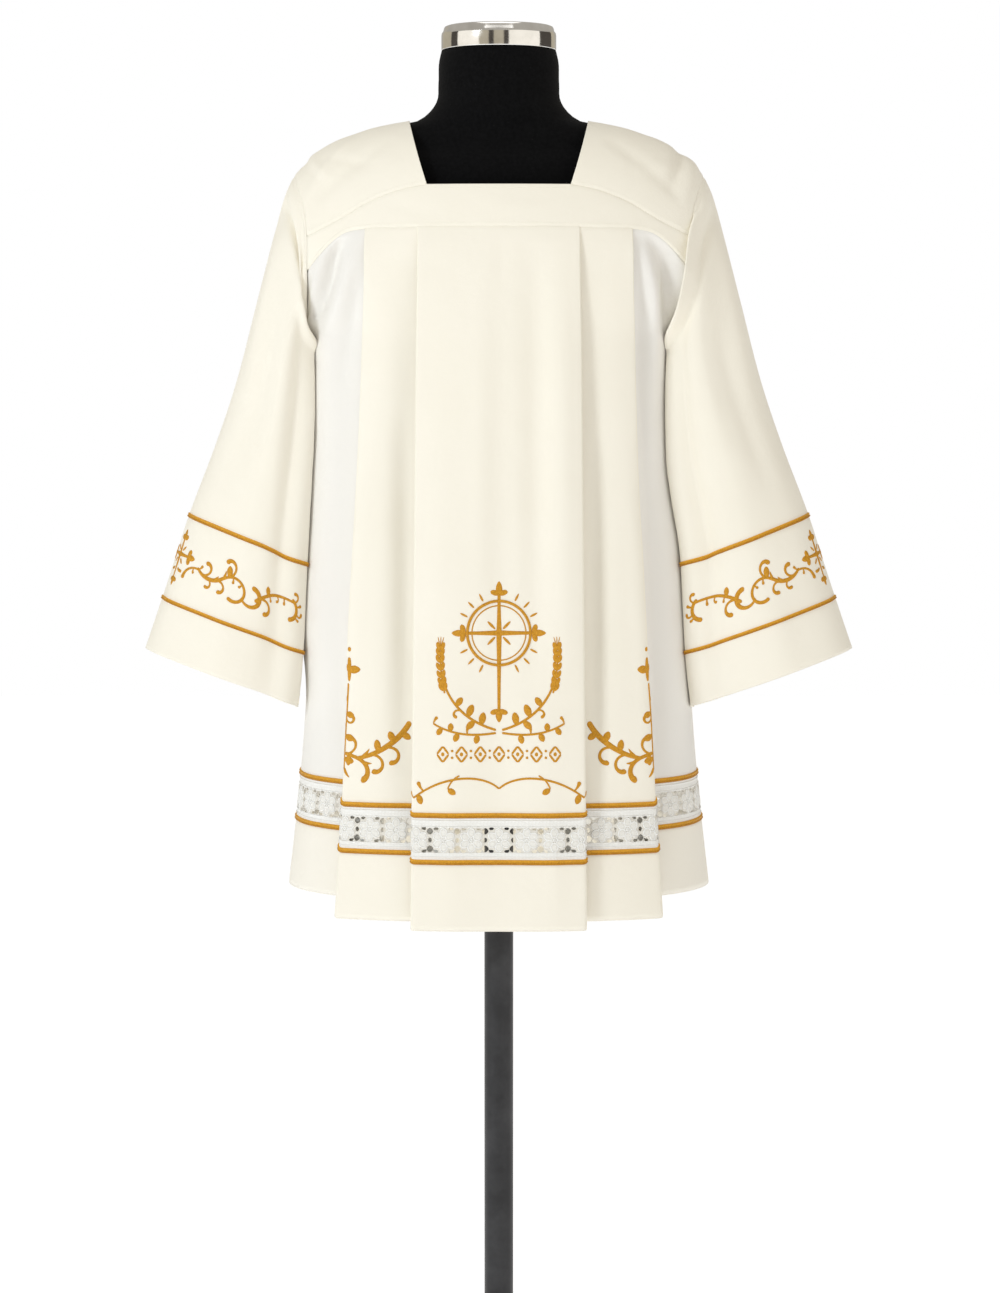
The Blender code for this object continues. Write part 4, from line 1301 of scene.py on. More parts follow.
# On a side panel: distance in from the outer fold, and height above the hem
PANEL_STEMS = table(
    STROKE,
    (6, 252, -94, 94, 6, 1.0, 1.4, 1.5, 1.2),
    (7, 254, 90, 26, 0, 1.0, 1.2, 2.9, 1.4),
    (7, 286, 90, 5, 0, 1.0, 1.7, 2.0, 1.7),
    (7, 267, 0, 13, 0, 1.0, 2.0, 4.4, 0.8),
    (8, 267, 180, 8.5, 0, 1.0, 1.8, 3.6, 0.8),
    (5, 177, -14, 50, -165, 2.6, 2.2, 2.2, 4.0),
    (19, 172, 8, 74, 52, 1.0, 1.9, 3.0, 3.4),
)
PANEL_SPRIGS = table(
    SPRIG,
    (0, 0.2, -1, LEAF, 0.9),
    (0, 0.34, 1, LEAF, 1.1),
    (0, 0.4, 1, CURL, 0.7),
    (0, 0.5, -1, LEAF, 0.9),
    (0, 0.6, 1, LEAF, 1.3),
    (0, 0.86, 1, LEAF, 1.3),
    (0, 0.97, 1, TIP, 1.4),
    (5, 0.06, 1, CURL, 1.2),
    (5, 0.1, -1, LEAF, 1.2),
    (5, 0.5, 1, TIP, 1.1),
    (6, 0.1, 1, TIP, 1.4),
    (6, 0.25, -1, CURL, 1.35),
    (6, 0.36, 1, LEAF, 1.3),
    (6, 0.48, -1, CURL, 1.3),
    (6, 0.62, 1, LEAF, 1.2),
    (6, 0.78, -1, LEAF, 1.2),
)
# On the middle panel, of the half at +X: the line under the emblem
MIDDLE_STEMS = table(
    STROKE,
    (0, 150.6, 52, 100, -90, 0.55, 1.0, 1.2, 1.0),
    (42, 165, -24, 20, -50, 1.0, 0.9, 0.9, 0.8),
)
MIDDLE_SPRIGS = table(
    SPRIG,
    (1, 0.98, -1, LEAF, 1.0),
    (0, 0.86, 1, BUD, 1.5),
    (0, 0.93, -1, LEAF, 1.1),
    (0, 0.99, 1, BUD, 0.9),
)
# The emblem: the half at +X of a budded cross and of a spray of leaves
EMBLEM_MIDDLE = 316.0
EMBLEM_ARM = table(
    STROKE,
    (0, 316, 0, 39, 0, 1.0, 3.0, 2.1, 1.7),
    (37, 316, 0, 14, 0, 1.0, 1.9, 3.6, 0.6),
    (37, 316, 64, 10, 14, 1.0, 1.5, 3.0, 1.3),
    (37, 316, -64, 10, -14, 1.0, 1.5, 3.0, 1.3),
    (0, 357, 24, 10, -14, 1.0, 1.5, 3.0, 1.3),
    (0, 234, -24, 10, 14, 1.0, 1.5, 3.0, 1.3),
    (4, 320, 45, 12, 0, 1.0, 0.6, 1.5, 0.5),
    (4, 312, -45, 12, 0, 1.0, 0.6, 1.5, 0.5),
)
SPRAY_STEMS = table(
    STROKE,
    (3, 213, 16, 84, 62, 1.2, 1.3, 1.4, 1.1),
    (3, 210, -8, 70, 40, 1.4, 1.2, 1.2, 1.0),
)
SPRAY_SPRIGS = table(
    SPRIG,
    (0, 0.2, 1, LEAF, 1.35),
    (0, 0.3, -1, LEAF, 1.2),
    (0, 0.4, 1, LEAF, 1.4),
    (0, 0.52, -1, CURL, 0.6),
    (0, 0.6, 1, LEAF, 1.1),
    (1, 0.28, -1, LEAF, 1.0),
    (1, 0.44, 1, BUD, 1.0),
    (1, 0.58, -1, LEAF, 1.0),
    (1, 0.7, 1, LEAF, 0.9),
    (1, 0.84, -1, LEAF, 0.9),
    (1, 0.99, 1, BUD, 1.1),
)
CROSS_POST = table(
    STROKE,
    (0, 316, 90, 42, 0, 1.0, 3.0, 2.1, 1.7),
    (0, 316, -90, 83, 0, 1.0, 3.0, 2.1, 1.7),
    (0, 356, 90, 15, 0, 1.0, 1.9, 3.6, 0.6),
    (0, 235, -90, 14, 0, 1.0, 1.9, 3.6, 0.6),
)
EAR_START = (58.0, 252.0)
EAR_HEADING = 76.0
EAR_LENGTH = 46.0
EAR_BEND = 16.0
EAR_GRAINS = 7
HALO_RADIUS = 34.0
# Rays start off the halo and are long near the diagonals
RAYS = 20
RAY_START = 3.5
RAY_END, LONG_RAY_END = 9.0, 13.0
# Lozenges: how many, how far apart, their height above the hem and half sizes, and how far the dots
# between them are from the middle line
LOZENGES = 7
LOZENGE_PITCH = 20.0
LOZENGE_HEIGHT = 187.5
LOZENGE_ASIDE, LOZENGE_ABOVE = 6.4, 8.5
DOT_ABOVE = 3.6


def grown(stems, sprigs):
    """Strokes of the stems and of the sprigs that grow from them. A stem's first part, up to a
    share of its length, is a tendril too, with its turn times share^power: a sprig starts there."""
    rows = list(zip(*stems.values()))
    kinds = list(zip(*SPRIG_KINDS.values()))
    for stem, share, side, kind, size in zip(*sprigs.values()):
        x, z, heading, length, turn, power = rows[int(stem)][:6]
        turned_by = turn * share**power
        spot = tendril(x, z, heading, length * share, turned_by, power)[-1]
        lean, length, turn, power, *halves = kinds[int(kind)]
        heading = heading + turned_by + side * lean
        halves = [half * (0.55 + 0.45 * size) for half in halves]
        rows.append((*spot, heading, length * size, side * turn, power, *halves))
    return {name: np.array(values) for name, values in zip(stems, zip(*rows))}


def embroidered(face, strokes, place):
    """Satin strokes for a table of tendrils with half widths, each path moved by place."""
    parts = []
    for *way, start, middle, end in zip(*strokes.values()):
        parts.append(satin(face, place(tendril(*way)), start, middle, end))
    return parts


def rays(face):
    """Rays round the emblem's ring, long and short by turns, none over the cross's arms."""
    parts = []
    for turn in (np.arange(RAYS) + 0.5) * 2 * np.pi / RAYS:
        if min(abs(np.cos(turn)), abs(np.sin(turn))) < 0.2:
            continue
        way = np.array([np.cos(turn), np.sin(turn)])
        end = LONG_RAY_END if abs(np.sin(2 * turn)) > 0.7 else RAY_END
        reach = mix(HALO_RADIUS + RAY_START, HALO_RADIUS + end, np.linspace(0, 1, 8))
        path = reach[:, None] * way + (0, EMBLEM_MIDDLE)
        parts.append(satin(face, path, 0.6, 1.2, 0.4))
    return parts


def ear(face, place):
    """An ear of wheat: pairs of grains up a bending stem, with three beards at its tip."""
    stem = tendril(*EAR_START, EAR_HEADING, EAR_LENGTH, EAR_BEND, 1.0)
    heading = EAR_HEADING + EAR_BEND * np.linspace(0, 1, EAR_GRAINS)
    spots = stem[np.linspace(len(stem) * 0.1, len(stem) - 1, EAR_GRAINS).astype(int)]
    parts = [satin(face, place(stem), 1.0, 1.0, 0.8)]
    for spot, way in zip(spots, heading):
        for side in (-1, 1):
            grain = tendril(*spot, way + 34 * side, 10, -24 * side, 1.0)
            parts.append(satin(face, place(grain), 0.8, 2.4, 0.6))
    for side in (-1, 0, 1):
        beard = tendril(*spots[-1], heading[-1] + 10 * side, 15, 5 * side, 1.0)
        parts.append(satin(face, place(beard), 0.6, 0.6, 0.3))
    return parts


def lozenges(face):
    """A row of open lozenges with a dot in each and a pair of dots between."""
    parts = []
    diamond = np.array([(0, 1), (1, 0), (0, -1), (-1, 0)]) * (LOZENGE_ASIDE, LOZENGE_ABOVE)
    for place in (np.arange(LOZENGES) - (LOZENGES - 1) / 2) * LOZENGE_PITCH:
        middle = np.array([place, LOZENGE_HEIGHT])
        corners = middle + diamond
        for first, last in zip(corners, np.roll(corners, -1, axis=0)):
            path = mix(first, last, np.linspace(0, 1, 9)[:, None])
            parts.append(satin(face, path, 1.0, 1.2, 1.0))
        parts.append(satin(face, middle + np.linspace(-2.2, 2.2, 9)[:, None] * (0, 1), 1.0, 1.8, 1.0))
    for place in (np.arange(LOZENGES - 1) - (LOZENGES - 2) / 2) * LOZENGE_PITCH:
        for above in (-DOT_ABOVE, DOT_ABOVE):
            spot = np.array([place, LOZENGE_HEIGHT + above])
            parts.append(satin(face, spot + np.linspace(-1.5, 1.5, 7)[:, None] * (1, 0), 1.0, 1.4, 1.0))
    return parts


def halo(face, radius, thick):
    """A round cord of the emblem."""
    loop = ring_path(0, EMBLEM_MIDDLE, radius, steps=90)
    turn = np.arange(SATIN_SIDES) * 2 * np.pi / SATIN_SIDES
    aside = thick * np.cos(turn) + 0 * loop[:, :1]
    return carried(face, loop, aside, 0.45 * thick * (1 + np.sin(turn)) - 0.2 + 0 * aside, closed=True)


def panel_fold(along):
    """Distance along the pleats from the middle to the second panel's outer fold."""
    turning = (COLUMNS["start"] == 3) & (COLUMNS["end"] == 3)
    return along[len(turning) - 1:][turning].mean()


def front_embroidery(face, along):
    """All the embroidery of the front: the emblem, the line under it and the side scrolls."""
    parts = embroidered(face, CROSS_POST, kept) + lozenges(face) + rays(face)
    parts += [halo(face, HALO_RADIUS, 1.5), halo(face, HALO_RADIUS - 5, 0.7)]
    fold = panel_fold(along)
    middle = [EMBLEM_ARM, grown(SPRAY_STEMS, SPRAY_SPRIGS), grown(MIDDLE_STEMS, MIDDLE_SPRIGS)]
    side = grown(PANEL_STEMS, PANEL_SPRIGS)
    for way in (kept, flipped):
        for strokes in middle:
            parts += embroidered(face, strokes, way)
        parts += ear(face, way)
        parts += embroidered(face, side, lambda path: way((fold, 0) + path * (-1, 1)))
    return joined(parts)


def sleeve_embroidery(face):
    """A sleeve's cross, beside its outer fold at the front, and its scroll, mirrored onto the back."""
    parts = embroidered(face, CUFF_POST, lambda path: path + (CROSS_ASIDE, 0))
    scroll = grown(SLEEVE_STEMS, SLEEVE_SPRIGS)
    for way in (kept, flipped):
        parts += embroidered(face, CUFF_ARM, lambda path: way(path) + (CROSS_ASIDE, 0))
        parts += embroidered(face, scroll, way)
    return joined(parts)


# The form


def torso_rings():
    """Rings (a cos^(2/n) t, b sin^(2/n) t) up the form's heights, half sizes and squareness."""
    height = np.linspace(FORM["height"][0], FORM["height"][-1], FORM_ROWS)
    sizes = {name: smooth(height, FORM["height"], row)[:, None] for name, row in FORM.items()}
    angle = np.arange(FORM_SIDES) * 2 * np.pi / FORM_SIDES
    power = 2 / sizes["squareness"]
    cosine, sine = np.cos(angle), np.sin(angle)
    x = sizes["half_width"] * np.sign(cosine) * np.abs(cosine) ** power
    y = sizes["half_depth"] * np.sign(sine) * np.abs(sine) ** power
    return np.stack([x, y, sizes["height"] + 0 * x], axis=-1)


def turned(radii, heights):
    """A round body from a profile of radii and heights."""
    angle = np.arange(FORM_SIDES) * 2 * np.pi / FORM_SIDES
    radius, height = radii[:, None], heights[:, None] + 0 * angle
    rings = np.stack([radius * np.cos(angle), radius * np.sin(angle), height], axis=-1)
    return tube(rings, np.stack([POLE_RADIUS * angle + 0 * height, height], axis=-1))


# Finishes

CREAM = (0.93, 0.89, 0.79)
CREAM_SHADE = (0.905, 0.862, 0.75)
# Painted shade: a cool, darker cream for the skirt's side panels, the lowest layer of the pleats
CREAM_PAINTED_SHADE = (0.86, 0.84, 0.80)
WHITE = (0.93, 0.93, 0.91)
# Painted shade: the lace's openwork ground is greyer than its cords, for the shade seen through the net
NET_PAINTED_SHADE = (0.77, 0.74, 0.67)
GOLD = (0.66, 0.31, 0.025)
# Ends of the gold's range: random unevenness, and painted shade and painted highlight on threads and the
# braid's edge
GOLD_DARK_AND_PAINTED_SHADE = (0.28, 0.095, 0.003)
GOLD_BRIGHT_AND_PAINTED_HIGHLIGHT = (0.92, 0.47, 0.035)
BLACK = (0.003, 0.003, 0.0033)
BLACK_WORN = (0.0055, 0.0055, 0.006)
WEAVE_PITCH = 0.0007


class Finish:
    """A Principled material whose nodes are added one by one."""

    def __init__(self, name, colour, roughness, metallic=0.0, sheen=0.0):
        self.material = bpy.data.materials.new(name)
        self.material.use_nodes = True
        self.tree = self.material.node_tree
        self.shader = self.tree.nodes["Principled BSDF"]
        plain = {"Base Color": (*colour, 1.0), "Roughness": roughness}
        self.set(self.shader, **plain, **{"Metallic": metallic, "Sheen Weight": sheen})

    def set(self, node, **values):
        """Set a node's plain values by the names of its sockets."""
        for name, value in values.items():
            node.inputs[name].default_value = value

    def link(self, output, node, name):
        """Join an output to a node's socket."""
        self.tree.links.new(output, node.inputs[name])

    def add(self, kind, **values):
        """A new node with plain values on its sockets."""
        node = self.tree.nodes.new(kind)
        self.set(node, **values)
        return node

    def math(self, operation, first, second=None, third=None):
        """The result of one sum on sockets or numbers."""
        node = self.tree.nodes.new("ShaderNodeMath")
        node.operation = operation
        for socket, value in zip(node.inputs, (first, second, third)):
            if isinstance(value, bpy.types.NodeSocket):
                self.tree.links.new(value, socket)
            elif value is not None:
                socket.default_value = value
        return node.outputs[0]

    def place(self, kind="Object"):
        """The X, Y and Z of a point, or the distances along and down a cloth for UV."""
        source = self.tree.nodes.new("ShaderNodeTexCoord").outputs[kind]
        split = self.tree.nodes.new("ShaderNodeSeparateXYZ")
        self.tree.links.new(source, split.inputs[0])
        return source, split.outputs

    def noise(self, source, scale, detail=3.0, roughness=0.5):
        """Soft noise, from nought to one, at a scale per metre."""
        node = self.add("ShaderNodeTexNoise", Scale=scale, Detail=detail, Roughness=roughness)
        self.link(source, node, "Vector")
        return node.outputs["Fac"]

    def waves(self, along, pitch):
        """A sine from nought to one, once each pitch in metres."""
        turn = self.math("MULTIPLY", along, 2 * np.pi / pitch)
        return self.math("MULTIPLY_ADD", self.math("SINE", turn), 0.5, 0.5)

    def blend(self, share, first, second):
        """Colour the surface from a first colour to a second one by a share."""
        node = self.tree.nodes.new("ShaderNodeMix")
        node.data_type = "RGBA"
        self.link(share, node, "Factor")
        ends = [socket for socket in node.inputs if socket.type == "RGBA"]
        for socket, colour in zip(ends, (first, second)):
            if isinstance(colour, bpy.types.NodeSocket):
                self.tree.links.new(colour, socket)
            else:
                socket.default_value = (*colour, 1.0)
        colour = [socket for socket in node.outputs if socket.type == "RGBA"][0]
        self.link(colour, self.shader, "Base Color")
        return colour

    def tint(self, share, dark, light, low=0.0, high=1.0):
        """Colour the surface from dark to light as a share goes from low to high."""
        spread = self.add("ShaderNodeMapRange", **{"From Min": low, "From Max": high})
        self.link(share, spread, "Value")
        return self.blend(spread.outputs[0], dark, light)

    def marked(self, name):
        """The value of a piece's own attribute, nought where it has none."""
        node = self.tree.nodes.new("ShaderNodeAttribute")
        node.attribute_name = name
        return node.outputs["Fac"]

    def bump(self, height, distance, strength, under=None):
        """Bump of a height over a distance in metres, on top of another bump."""
        node = self.add("ShaderNodeBump", Strength=strength, Distance=distance)
        self.link(height, node, "Height")
        if under is not None:
            self.link(under, node, "Normal")
        self.tree.links.new(node.outputs[0], self.shader.inputs["Normal"])
        return node.outputs[0]


def cream_cloth():
    """Fine plain weave in cream: warp and weft as crossed sines, slubs, and soft rumples, with painted
    shade, a cool and darker cream, where a piece marks it.
    """
    look = Finish("cream cloth", CREAM, 0.82, sheen=0.12)
    place, _ = look.place()
    flat, (across, down, _) = look.place("UV")
    warp = look.waves(across, WEAVE_PITCH)
    weft = look.waves(down, WEAVE_PITCH)
    over = look.math("MULTIPLY", look.math("SUBTRACT", warp, 0.5), look.math("SUBTRACT", weft, 0.5))
    weave = look.math("MULTIPLY_ADD", over, 2.0, 0.5)
    rumple = look.bump(look.noise(place, 16, 4, 0.45), 0.006, 0.35)
    rumple = look.bump(look.noise(flat, 140, 3, 0.6), 0.0008, 0.25, rumple)
    look.bump(weave, 0.00012, 0.4, rumple)
    cloud = look.noise(place, 7, 2, 0.5)
    slub = look.noise(flat, 900, 2, 0.7)
    share = look.math("MULTIPLY_ADD", slub, 0.45, look.math("MULTIPLY", cloud, 0.55))
    cream = look.tint(share, CREAM_SHADE, CREAM, 0.3, 0.7)
    # Painted shade: where a piece marks it, the cream turns to the cool, darker one
    look.blend(look.marked("painted_shade"), cream, CREAM_PAINTED_SHADE)
    return look.material


def cream_thread():
    """Sewing thread in the cloth's own cream, a little brighter."""
    look = Finish("cream thread", CREAM, 0.6)
    flat, (along, across, _) = look.place("UV")
    ply = look.waves(look.math("MULTIPLY_ADD", across, 1.5, along), 0.0008)
    look.tint(ply, CREAM_SHADE, (0.95, 0.92, 0.84))
    look.bump(look.math("ADD", ply, look.noise(flat, 2000, 2)), 0.0001, 0.4)
    return look.material


def white_lace():
    """White cotton lace: a net of fine crossed sines with dots in it; its ground carries painted shade,
    greyer than the marked cords, petals and edges, for the shade seen through the net.
    """
    look = Finish("white lace", WHITE, 0.85, sheen=0.1)
    flat, (across, up, _) = look.place("UV")
    threads = look.math("MULTIPLY", look.waves(across, 0.0011), look.waves(up, 0.0011))
    dots = look.math("MULTIPLY", look.waves(across, 0.0037), look.waves(up, 0.0032))
    rough = look.noise(flat, 1500, 2, 0.6)
    look.bump(look.math("ADD", threads, look.math("ADD", rough, dots)), 0.0004, 0.5)
    sharp = look.math("POWER", dots, 2.0)
    net = look.math("MULTIPLY_ADD", sharp, 0.3, look.math("MULTIPLY", threads, 0.2))
    # Painted shade: away from the marked solid parts the lace goes to the greyer net colour
    look.tint(look.math("ADD", look.marked("unshaded_share"), net), NET_PAINTED_SHADE, WHITE)
    return look.material


def gold_thread(name, pitch, slant, edge):
    """Golden thread: stripes across the stroke at a slant, with a painted highlight on the crown of each
    thread, and painted shade towards the lower edge by a share of the distance across."""
    look = Finish(name, GOLD, 0.5, 0.15)
    look.set(look.shader, **{"Specular IOR Level": 0.25})
    flat, (along, across, _) = look.place("UV")
    way = look.math("MULTIPLY_ADD", across, slant, along)
    # Painted highlight: lighter on the crown of each thread, darker between
    thread = look.waves(way, pitch)
    uneven = look.noise(flat, 420, 3, 0.6)
    share = look.math("MULTIPLY_ADD", thread, 0.5, look.math("MULTIPLY", uneven, 0.6))
    # Painted shade: darker towards the lower edge by edge times the distance across
    share = look.math("MULTIPLY_ADD", across, edge, share)
    look.tint(share, GOLD_DARK_AND_PAINTED_SHADE, GOLD_BRIGHT_AND_PAINTED_HIGHLIGHT, 0.15, 0.95)
    look.bump(look.math("ADD", thread, look.math("MULTIPLY", uneven, 0.4)), 0.00018, 0.55)
    return look.material


def black_jersey():
    """Matt black knit over the form."""
    look = Finish("black jersey", BLACK, 0.8, sheen=0.03)
    place, (x, y, z) = look.place()
    ribs = look.math("MULTIPLY", look.waves(look.math("ADD", x, y), 0.0012), look.waves(z, 0.0016))
    soft = look.bump(look.noise(place, 30, 3, 0.5), 0.0012, 0.3)
    look.bump(look.math("ADD", ribs, look.noise(place, 1400, 2)), 0.0002, 0.45, soft)
    look.tint(look.noise(place, 260, 3), BLACK, BLACK_WORN, 0.35, 0.8)
    look.set(look.shader, **{"Specular IOR Level": 0.03})
    return look.material


def chrome():
    """Bright plated steel, a little uneven."""
    look = Finish("chrome", (0.82, 0.81, 0.79), 0.09, 1.0)
    place, (_, _, z) = look.place()
    streak = look.noise(place, 380, 2)
    look.bump(look.math("ADD", streak, look.waves(z, 0.0009)), 0.00003, 0.25)
    look.tint(look.noise(place, 60, 2), (0.74, 0.73, 0.71), (0.86, 0.85, 0.84), 0.3, 0.7)
    return look.material


def dark_metal():
    """Black powder coat, with a fine grain and rubbed places."""
    look = Finish("dark metal", (0.03, 0.03, 0.033), 0.42, 0.4)
    place, _ = look.place()
    look.bump(look.noise(place, 900, 3), 0.0002, 0.35)
    look.tint(look.noise(place, 22, 4, 0.6), (0.02, 0.02, 0.022), (0.05, 0.05, 0.054), 0.4, 0.8)
    return look.material


# The pieces

EMBROIDERED_HEIGHTS = UPPER_SEAM + 1.5, 384.0
# How strong the painted shade on the hem's side panels is beside the skirt's, and how far petals are
# spared the lace's painted shade beside their cords
HEM_PAINTED_SHADE = 0.3
PETAL_UNSHADED = 0.7
# Rows of the skirt from a little above the yoke seam down to the lace, close at first
SKIRT_FIRST_ROWS = (-0.007, -0.003, 0, 0.0015, 0.0035, 0.0065)
SKIRT_SHARES = np.concatenate([SKIRT_FIRST_ROWS, np.linspace(0.011, 1, SKIRT_ROWS)])


def add_skirt(side, creases, place, looks):
    """The pleated cloth, lace, hem and braids of the front or the back, and the front's embroidery.
    The lowest layer of the skirt, its side panels, is marked for painted shade, a cool and darker cream."""
    last = column_hems() + UPPER_SEAM
    skirt = pleated_wall(mix(column_tops(), last, SKIRT_SHARES[:, None]), creases, place)
    skirt_piece = add_piece(f"skirt_{side}", skirt, looks["cream"], [f"{side}_skirt"])
    hem = pleated_wall(column_hems() + np.linspace(LOWER_SEAM, 0, HEM_ROWS)[:, None], creases, place)
    hem_piece = add_piece(f"hem_band_{side}", hem, looks["cream"], [f"hem_{side}"])
    # Painted shade: full on the side panels, a fifth of it on the next layer up
    painted_shade = both_halves(np.clip(1.2 - COLUMNS["layer"], 0, 1))
    for piece, share in ((skirt_piece, 1.0), (hem_piece, HEM_PAINTED_SHADE)):
        mark(piece, "painted_shade", share * np.tile(painted_shade, len(piece.data.vertices) // len(painted_shade)))
    face, along = pleated_face(LOWER_SEAM - 12, UPPER_SEAM + 12, creases, place)
    half_length = along[-1]
    net, cords = lace_net(face, half_length), lace_cords(face, half_length)
    lace = joined([net, cords])
    lace_piece = add_piece(f"lace_band_{side}", lace, looks["lace"], [f"lace_{side}"])
    distance, above = net[2].T
    # Cords and margins are spared the painted shade of the net's ground, and petals in part
    white = np.maximum(petal_rise(distance, above), np.abs(above - LACE_MIDDLE) - 13)
    petals = PETAL_UNSHADED * np.clip(white, 0, 1)
    mark(lace_piece, "unshaded_share", np.concatenate([petals, np.ones(len(cords[0]))]))
    steps = np.arange(-half_length, half_length + 1, BRAID_STEP)
    for level, seam in (("upper", UPPER_SEAM), ("lower", LOWER_SEAM)):
        body = braid(face, level_path(steps, seam))
        name = f"braid_{level}_{side}"
        add_piece(f"{name}_gold", body, looks["braid"], [name])
    if side == "front":
        body = front_embroidery(*pleated_face(*EMBROIDERED_HEIGHTS, creases, place))
        add_piece("embroidery_front", body, looks["satin"])


def add_sleeve(side, sign, looks):
    """One sleeve and its two braids."""
    cloth, seam = sleeve_wall(sign)
    piece = add_piece(f"sleeve_cloth_{side}", cloth, looks["cream"], [f"sleeve_{side}"])
    sewn = [add_piece(f"stitches_armhole_{side}", seam, looks["thread"])]
    face, around = sleeve_face(sign)
    steps = np.linspace(-around / 2, around / 2, SLEEVE_BRAID_STEPS, endpoint=False)
    for level, above in (("upper", SLEEVE_BAND), ("lower", 0.0)):
        body = braid(face, level_path(steps, above), closed=True)
        name = f"sleeve_braid_{level}_{side}"
        sewn.append(add_piece(f"{name}_gold", body, looks["braid"], [name]))
    body = sleeve_embroidery(face)
    sewn.append(add_piece(f"embroidery_sleeve_{side}", body, looks["satin"]))
    return piece, sewn


def add_form(looks):
    """The torso with its neck, the cap, the pole and the base plate."""
    rings = torso_rings()
    torso = tube(rings, rings[..., (0, 2)])
    cap, plate = (turned(profile["radius"], profile["height"]) for profile in (CAP, BASE))
    foot, head = BASE["height"][-1], FORM["height"][0]
    heights = np.array([foot, foot + POLE_EDGE, head - POLE_EDGE, head])
    pole = turned(POLE_RADIUS + 0 * heights, heights)
    add_piece("form_body", torso, looks["black"], ["form_torso"])
    add_piece("form_cap", cap, looks["chrome"], ["neck_cap"])
    add_piece("form_post", pole, looks["metal"], ["form_pole"])
    add_piece("form_plate", plate, looks["metal"], ["form_base"])


def add_garment(looks):
    """Every piece of the surplice, and the stitches along its seams."""
    for side, creases, place in (("front", FRONT_CREASES, front), ("back", BACK_CREASES, back)):
        yoke, seams = yoke_wall(YOKE_CREASES, place)
        band = add_piece(f"yoke_band_{side}", yoke, looks["cream"], [f"yoke_{side}"])
        sewn = add_piece(f"stitches_yoke_{side}", seams, looks["thread"])
        add_skirt(side, creases, place, looks)
    for side, sign in (("left", 1), ("right", -1)):
        shoulder, seams = shoulder_wall(SHOULDER_CREASES, sign)
        node = f"shoulder_{side}"
        piece = add_piece(f"{node}_cloth", shoulder, looks["cream"], [node])
        sewn = add_piece(f"stitches_shoulder_{side}", seams, looks["thread"])
        sleeve, sewn = add_sleeve(side, sign, looks)


# Camera, floor and light

# The camera: its focal length in rows of the image, its place in metres, and the slope that it looks
# down; the sensor is as tall as the image
SENSOR = 36.0
IMAGE_ROWS = 1293
FOCAL_ROWS = 3818
CAMERA_ASIDE = 0.0013
CAMERA_DISTANCE = 4.2
CAMERA_HEIGHT = 1.156
CAMERA_SLOPE = 0.05828
ROOM_LIGHT = (0.455, 0.43, 0.385)
FLOOR_REACH = 12.0
FLOOR_GLOW = 0.66
FLOOR_TINT = (0.95, 0.97, 1.0)
# Soft lights: name, place, the point each looks at, size, power and colour
LIGHTS = (
    ("key", (-2.9, -2.95, 2.5), (0.0, 0.0, 1.1), 1.0, 60.0, (0.88, 0.945, 1.0)),
    ("top", (0.0, -0.4, 3.3), (0.0, 0.0, 1.3), 1.6, 9.0, (1.0, 0.99, 0.97)),
    ("fill", (2.6, -2.2, 1.6), (0.0, 0.0, 1.1), 1.6, 7.0, (1.0, 0.97, 0.93)),
)
# A small lamp that only lights the inside of the skirt
LAMP = ("under the torso", (0.0, 0.0, 0.79), (0.0, 0.0, 0.0), 0.16, 0.24, (1.0, 0.92, 0.78))
CARD_DISTANCE = 3.0
CARD_HEIGHTS = 0.6, 2.6
# Cards that only mirrors see: pale ones at both sides, dark ones beside them and dim ones between,
# by the angles round from the front towards +X where each starts and ends
PALE_CARD = (1.1, 1.05, 0.95)
DIM_CARD = (0.5, 0.45, 0.35)
DARK_CARD = (0.08, 0.07, 0.06)
CARDS = (
    (-150, -110, DIM_CARD),
    (-110, -90, DARK_CARD),
    (-90, -40, PALE_CARD),
    (-40, -20, DIM_CARD),
    (-20, -10, DARK_CARD),
    (-10, 10, DIM_CARD),
    (10, 20, DARK_CARD),
    (20, 90, PALE_CARD),
    (90, 130, DARK_CARD),
    (130, 150, DIM_CARD),
)


def add_camera():
    """The camera, level with the chest and tilted down a little."""
    data = bpy.data.cameras.new("camera")
    data.sensor_width = SENSOR
    data.lens = FOCAL_ROWS / IMAGE_ROWS * SENSOR
    data.clip_end = 100.0
    camera = bpy.data.objects.new("camera", data)
    camera.location = (CAMERA_ASIDE, -CAMERA_DISTANCE, CAMERA_HEIGHT)
    camera.rotation_euler = (np.pi / 2 - np.arctan(CAMERA_SLOPE), 0.0, 0.0)
    bpy.context.scene.collection.objects.link(camera)
    bpy.context.scene.camera = camera


def add_light(name, place, aim, size, power, colour):
    """A square soft light that looks at a point."""
    data = bpy.data.lights.new(name, "AREA")
    data.size = size
    data.energy = power
    data.color = colour
    light = bpy.data.objects.new(name, data)
    light.location = place
    way = np.array(aim) - np.array(place)
    level = np.hypot(way[0], way[1])
    light.rotation_euler = (np.arctan2(level, -way[2]), 0.0, np.arctan2(way[1], way[0]) - np.pi / 2)
    bpy.context.scene.collection.objects.link(light)
    return light


def add_stage(name, corners, base, roughness, specular, glow, strength=1.0, mirrored_only=False):
    """A flat glowing piece of the studio, outside the object; one may show in mirrors alone."""
    look = Finish(name, base, roughness)
    look.set(look.shader, **{"Specular IOR Level": specular, "Emission Strength": strength})
    look.set(look.shader, **{"Emission Color": (*glow, 1.0)})
    mesh = bpy.data.meshes.new(name)
    mesh.from_pydata(corners, [], [(0, 1, 2, 3)])
    mesh.materials.append(look.material)
    item = bpy.data.objects.new(name, mesh)
    bpy.context.scene.collection.objects.link(item)
    if mirrored_only:
        item.visible_camera = False
        item.visible_diffuse = False
        item.visible_shadow = False


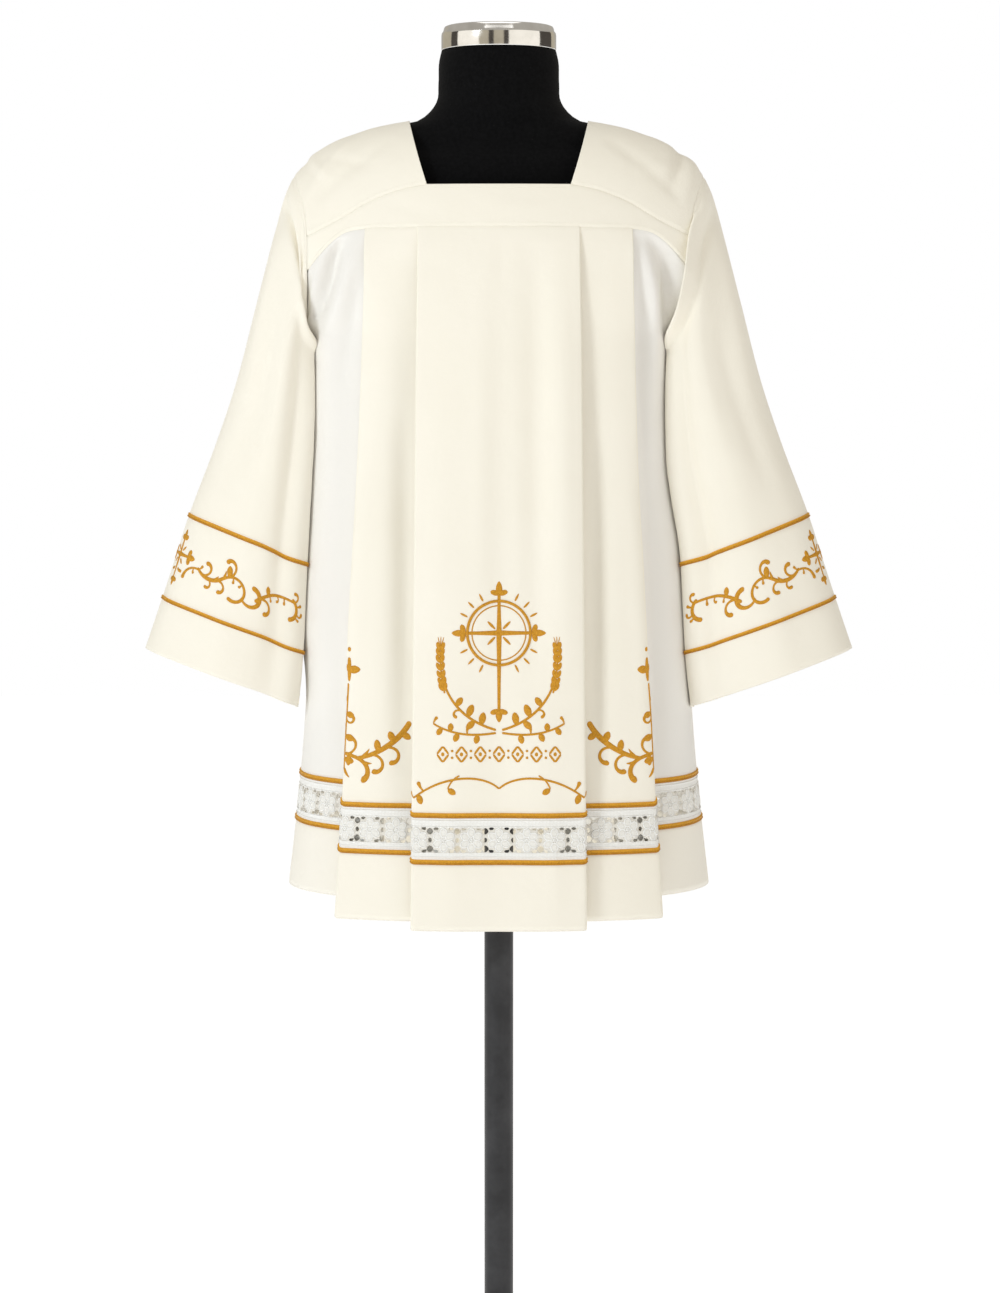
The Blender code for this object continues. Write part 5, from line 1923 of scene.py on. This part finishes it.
def add_floor():
    """A pale floor."""
    corners = [(x * FLOOR_REACH, y * FLOOR_REACH, 0) for x, y in ((-1, -1), (1, -1), (1, 1), (-1, 1))]
    add_stage("floor", corners, (0.9, 0.9, 0.9), 0.9, 0.1, FLOOR_TINT, FLOOR_GLOW)


def add_cards():
    """Tall cards round the form that only mirrors see, as round a table for shooting metal."""
    for number, (start, end, shade) in enumerate(CARDS):
        turns = np.radians([start, end])
        ends = CARD_DISTANCE * np.stack([np.sin(turns), -np.cos(turns)], axis=-1)
        low, high = CARD_HEIGHTS
        corners = [(*ends[0], low), (*ends[1], low), (*ends[1], high), (*ends[0], high)]
        add_stage(f"card_{number}", corners, (0.0, 0.0, 0.0), 1.0, 0.0, shade, mirrored_only=True)


def add_world():
    """An even white room; the backdrop shows as plain white."""
    world = bpy.data.worlds.new("studio")
    world.use_nodes = True
    tree = world.node_tree
    background = tree.nodes["Background"]
    path = tree.nodes.new("ShaderNodeLightPath")
    blend = tree.nodes.new("ShaderNodeCombineColor")
    for socket, level in zip(blend.inputs, ROOM_LIGHT):
        share = tree.nodes.new("ShaderNodeMapRange")
        share.inputs["To Min"].default_value = level
        share.inputs["To Max"].default_value = 1.0
        tree.links.new(path.outputs["Is Camera Ray"], share.inputs["Value"])
        tree.links.new(share.outputs[0], socket)
    tree.links.new(blend.outputs[0], background.inputs["Color"])
    background.inputs["Strength"].default_value = 1.0
    bpy.context.scene.world = world


bpy.context.scene.view_settings.view_transform = "Standard"
looks = {
    "cream": cream_cloth(),
    "lace": white_lace(),
    "thread": cream_thread(),
    # The braid's last number is the strength of its painted shade towards the lower edge
    "braid": gold_thread("gold braid", 0.0011, 1.6, 90.0),
    "satin": gold_thread("gold satin stitch", 0.0006, 0.35, 0.0),
    "black": black_jersey(),
    "chrome": chrome(),
    "metal": dark_metal(),
}
add_garment(looks)
add_form(looks)
add_camera()
add_floor()
add_cards()
add_world()
for light in LIGHTS:
    add_light(*light)
lamp = add_light(*LAMP)
lamp.visible_camera = False
lamp.visible_glossy = False
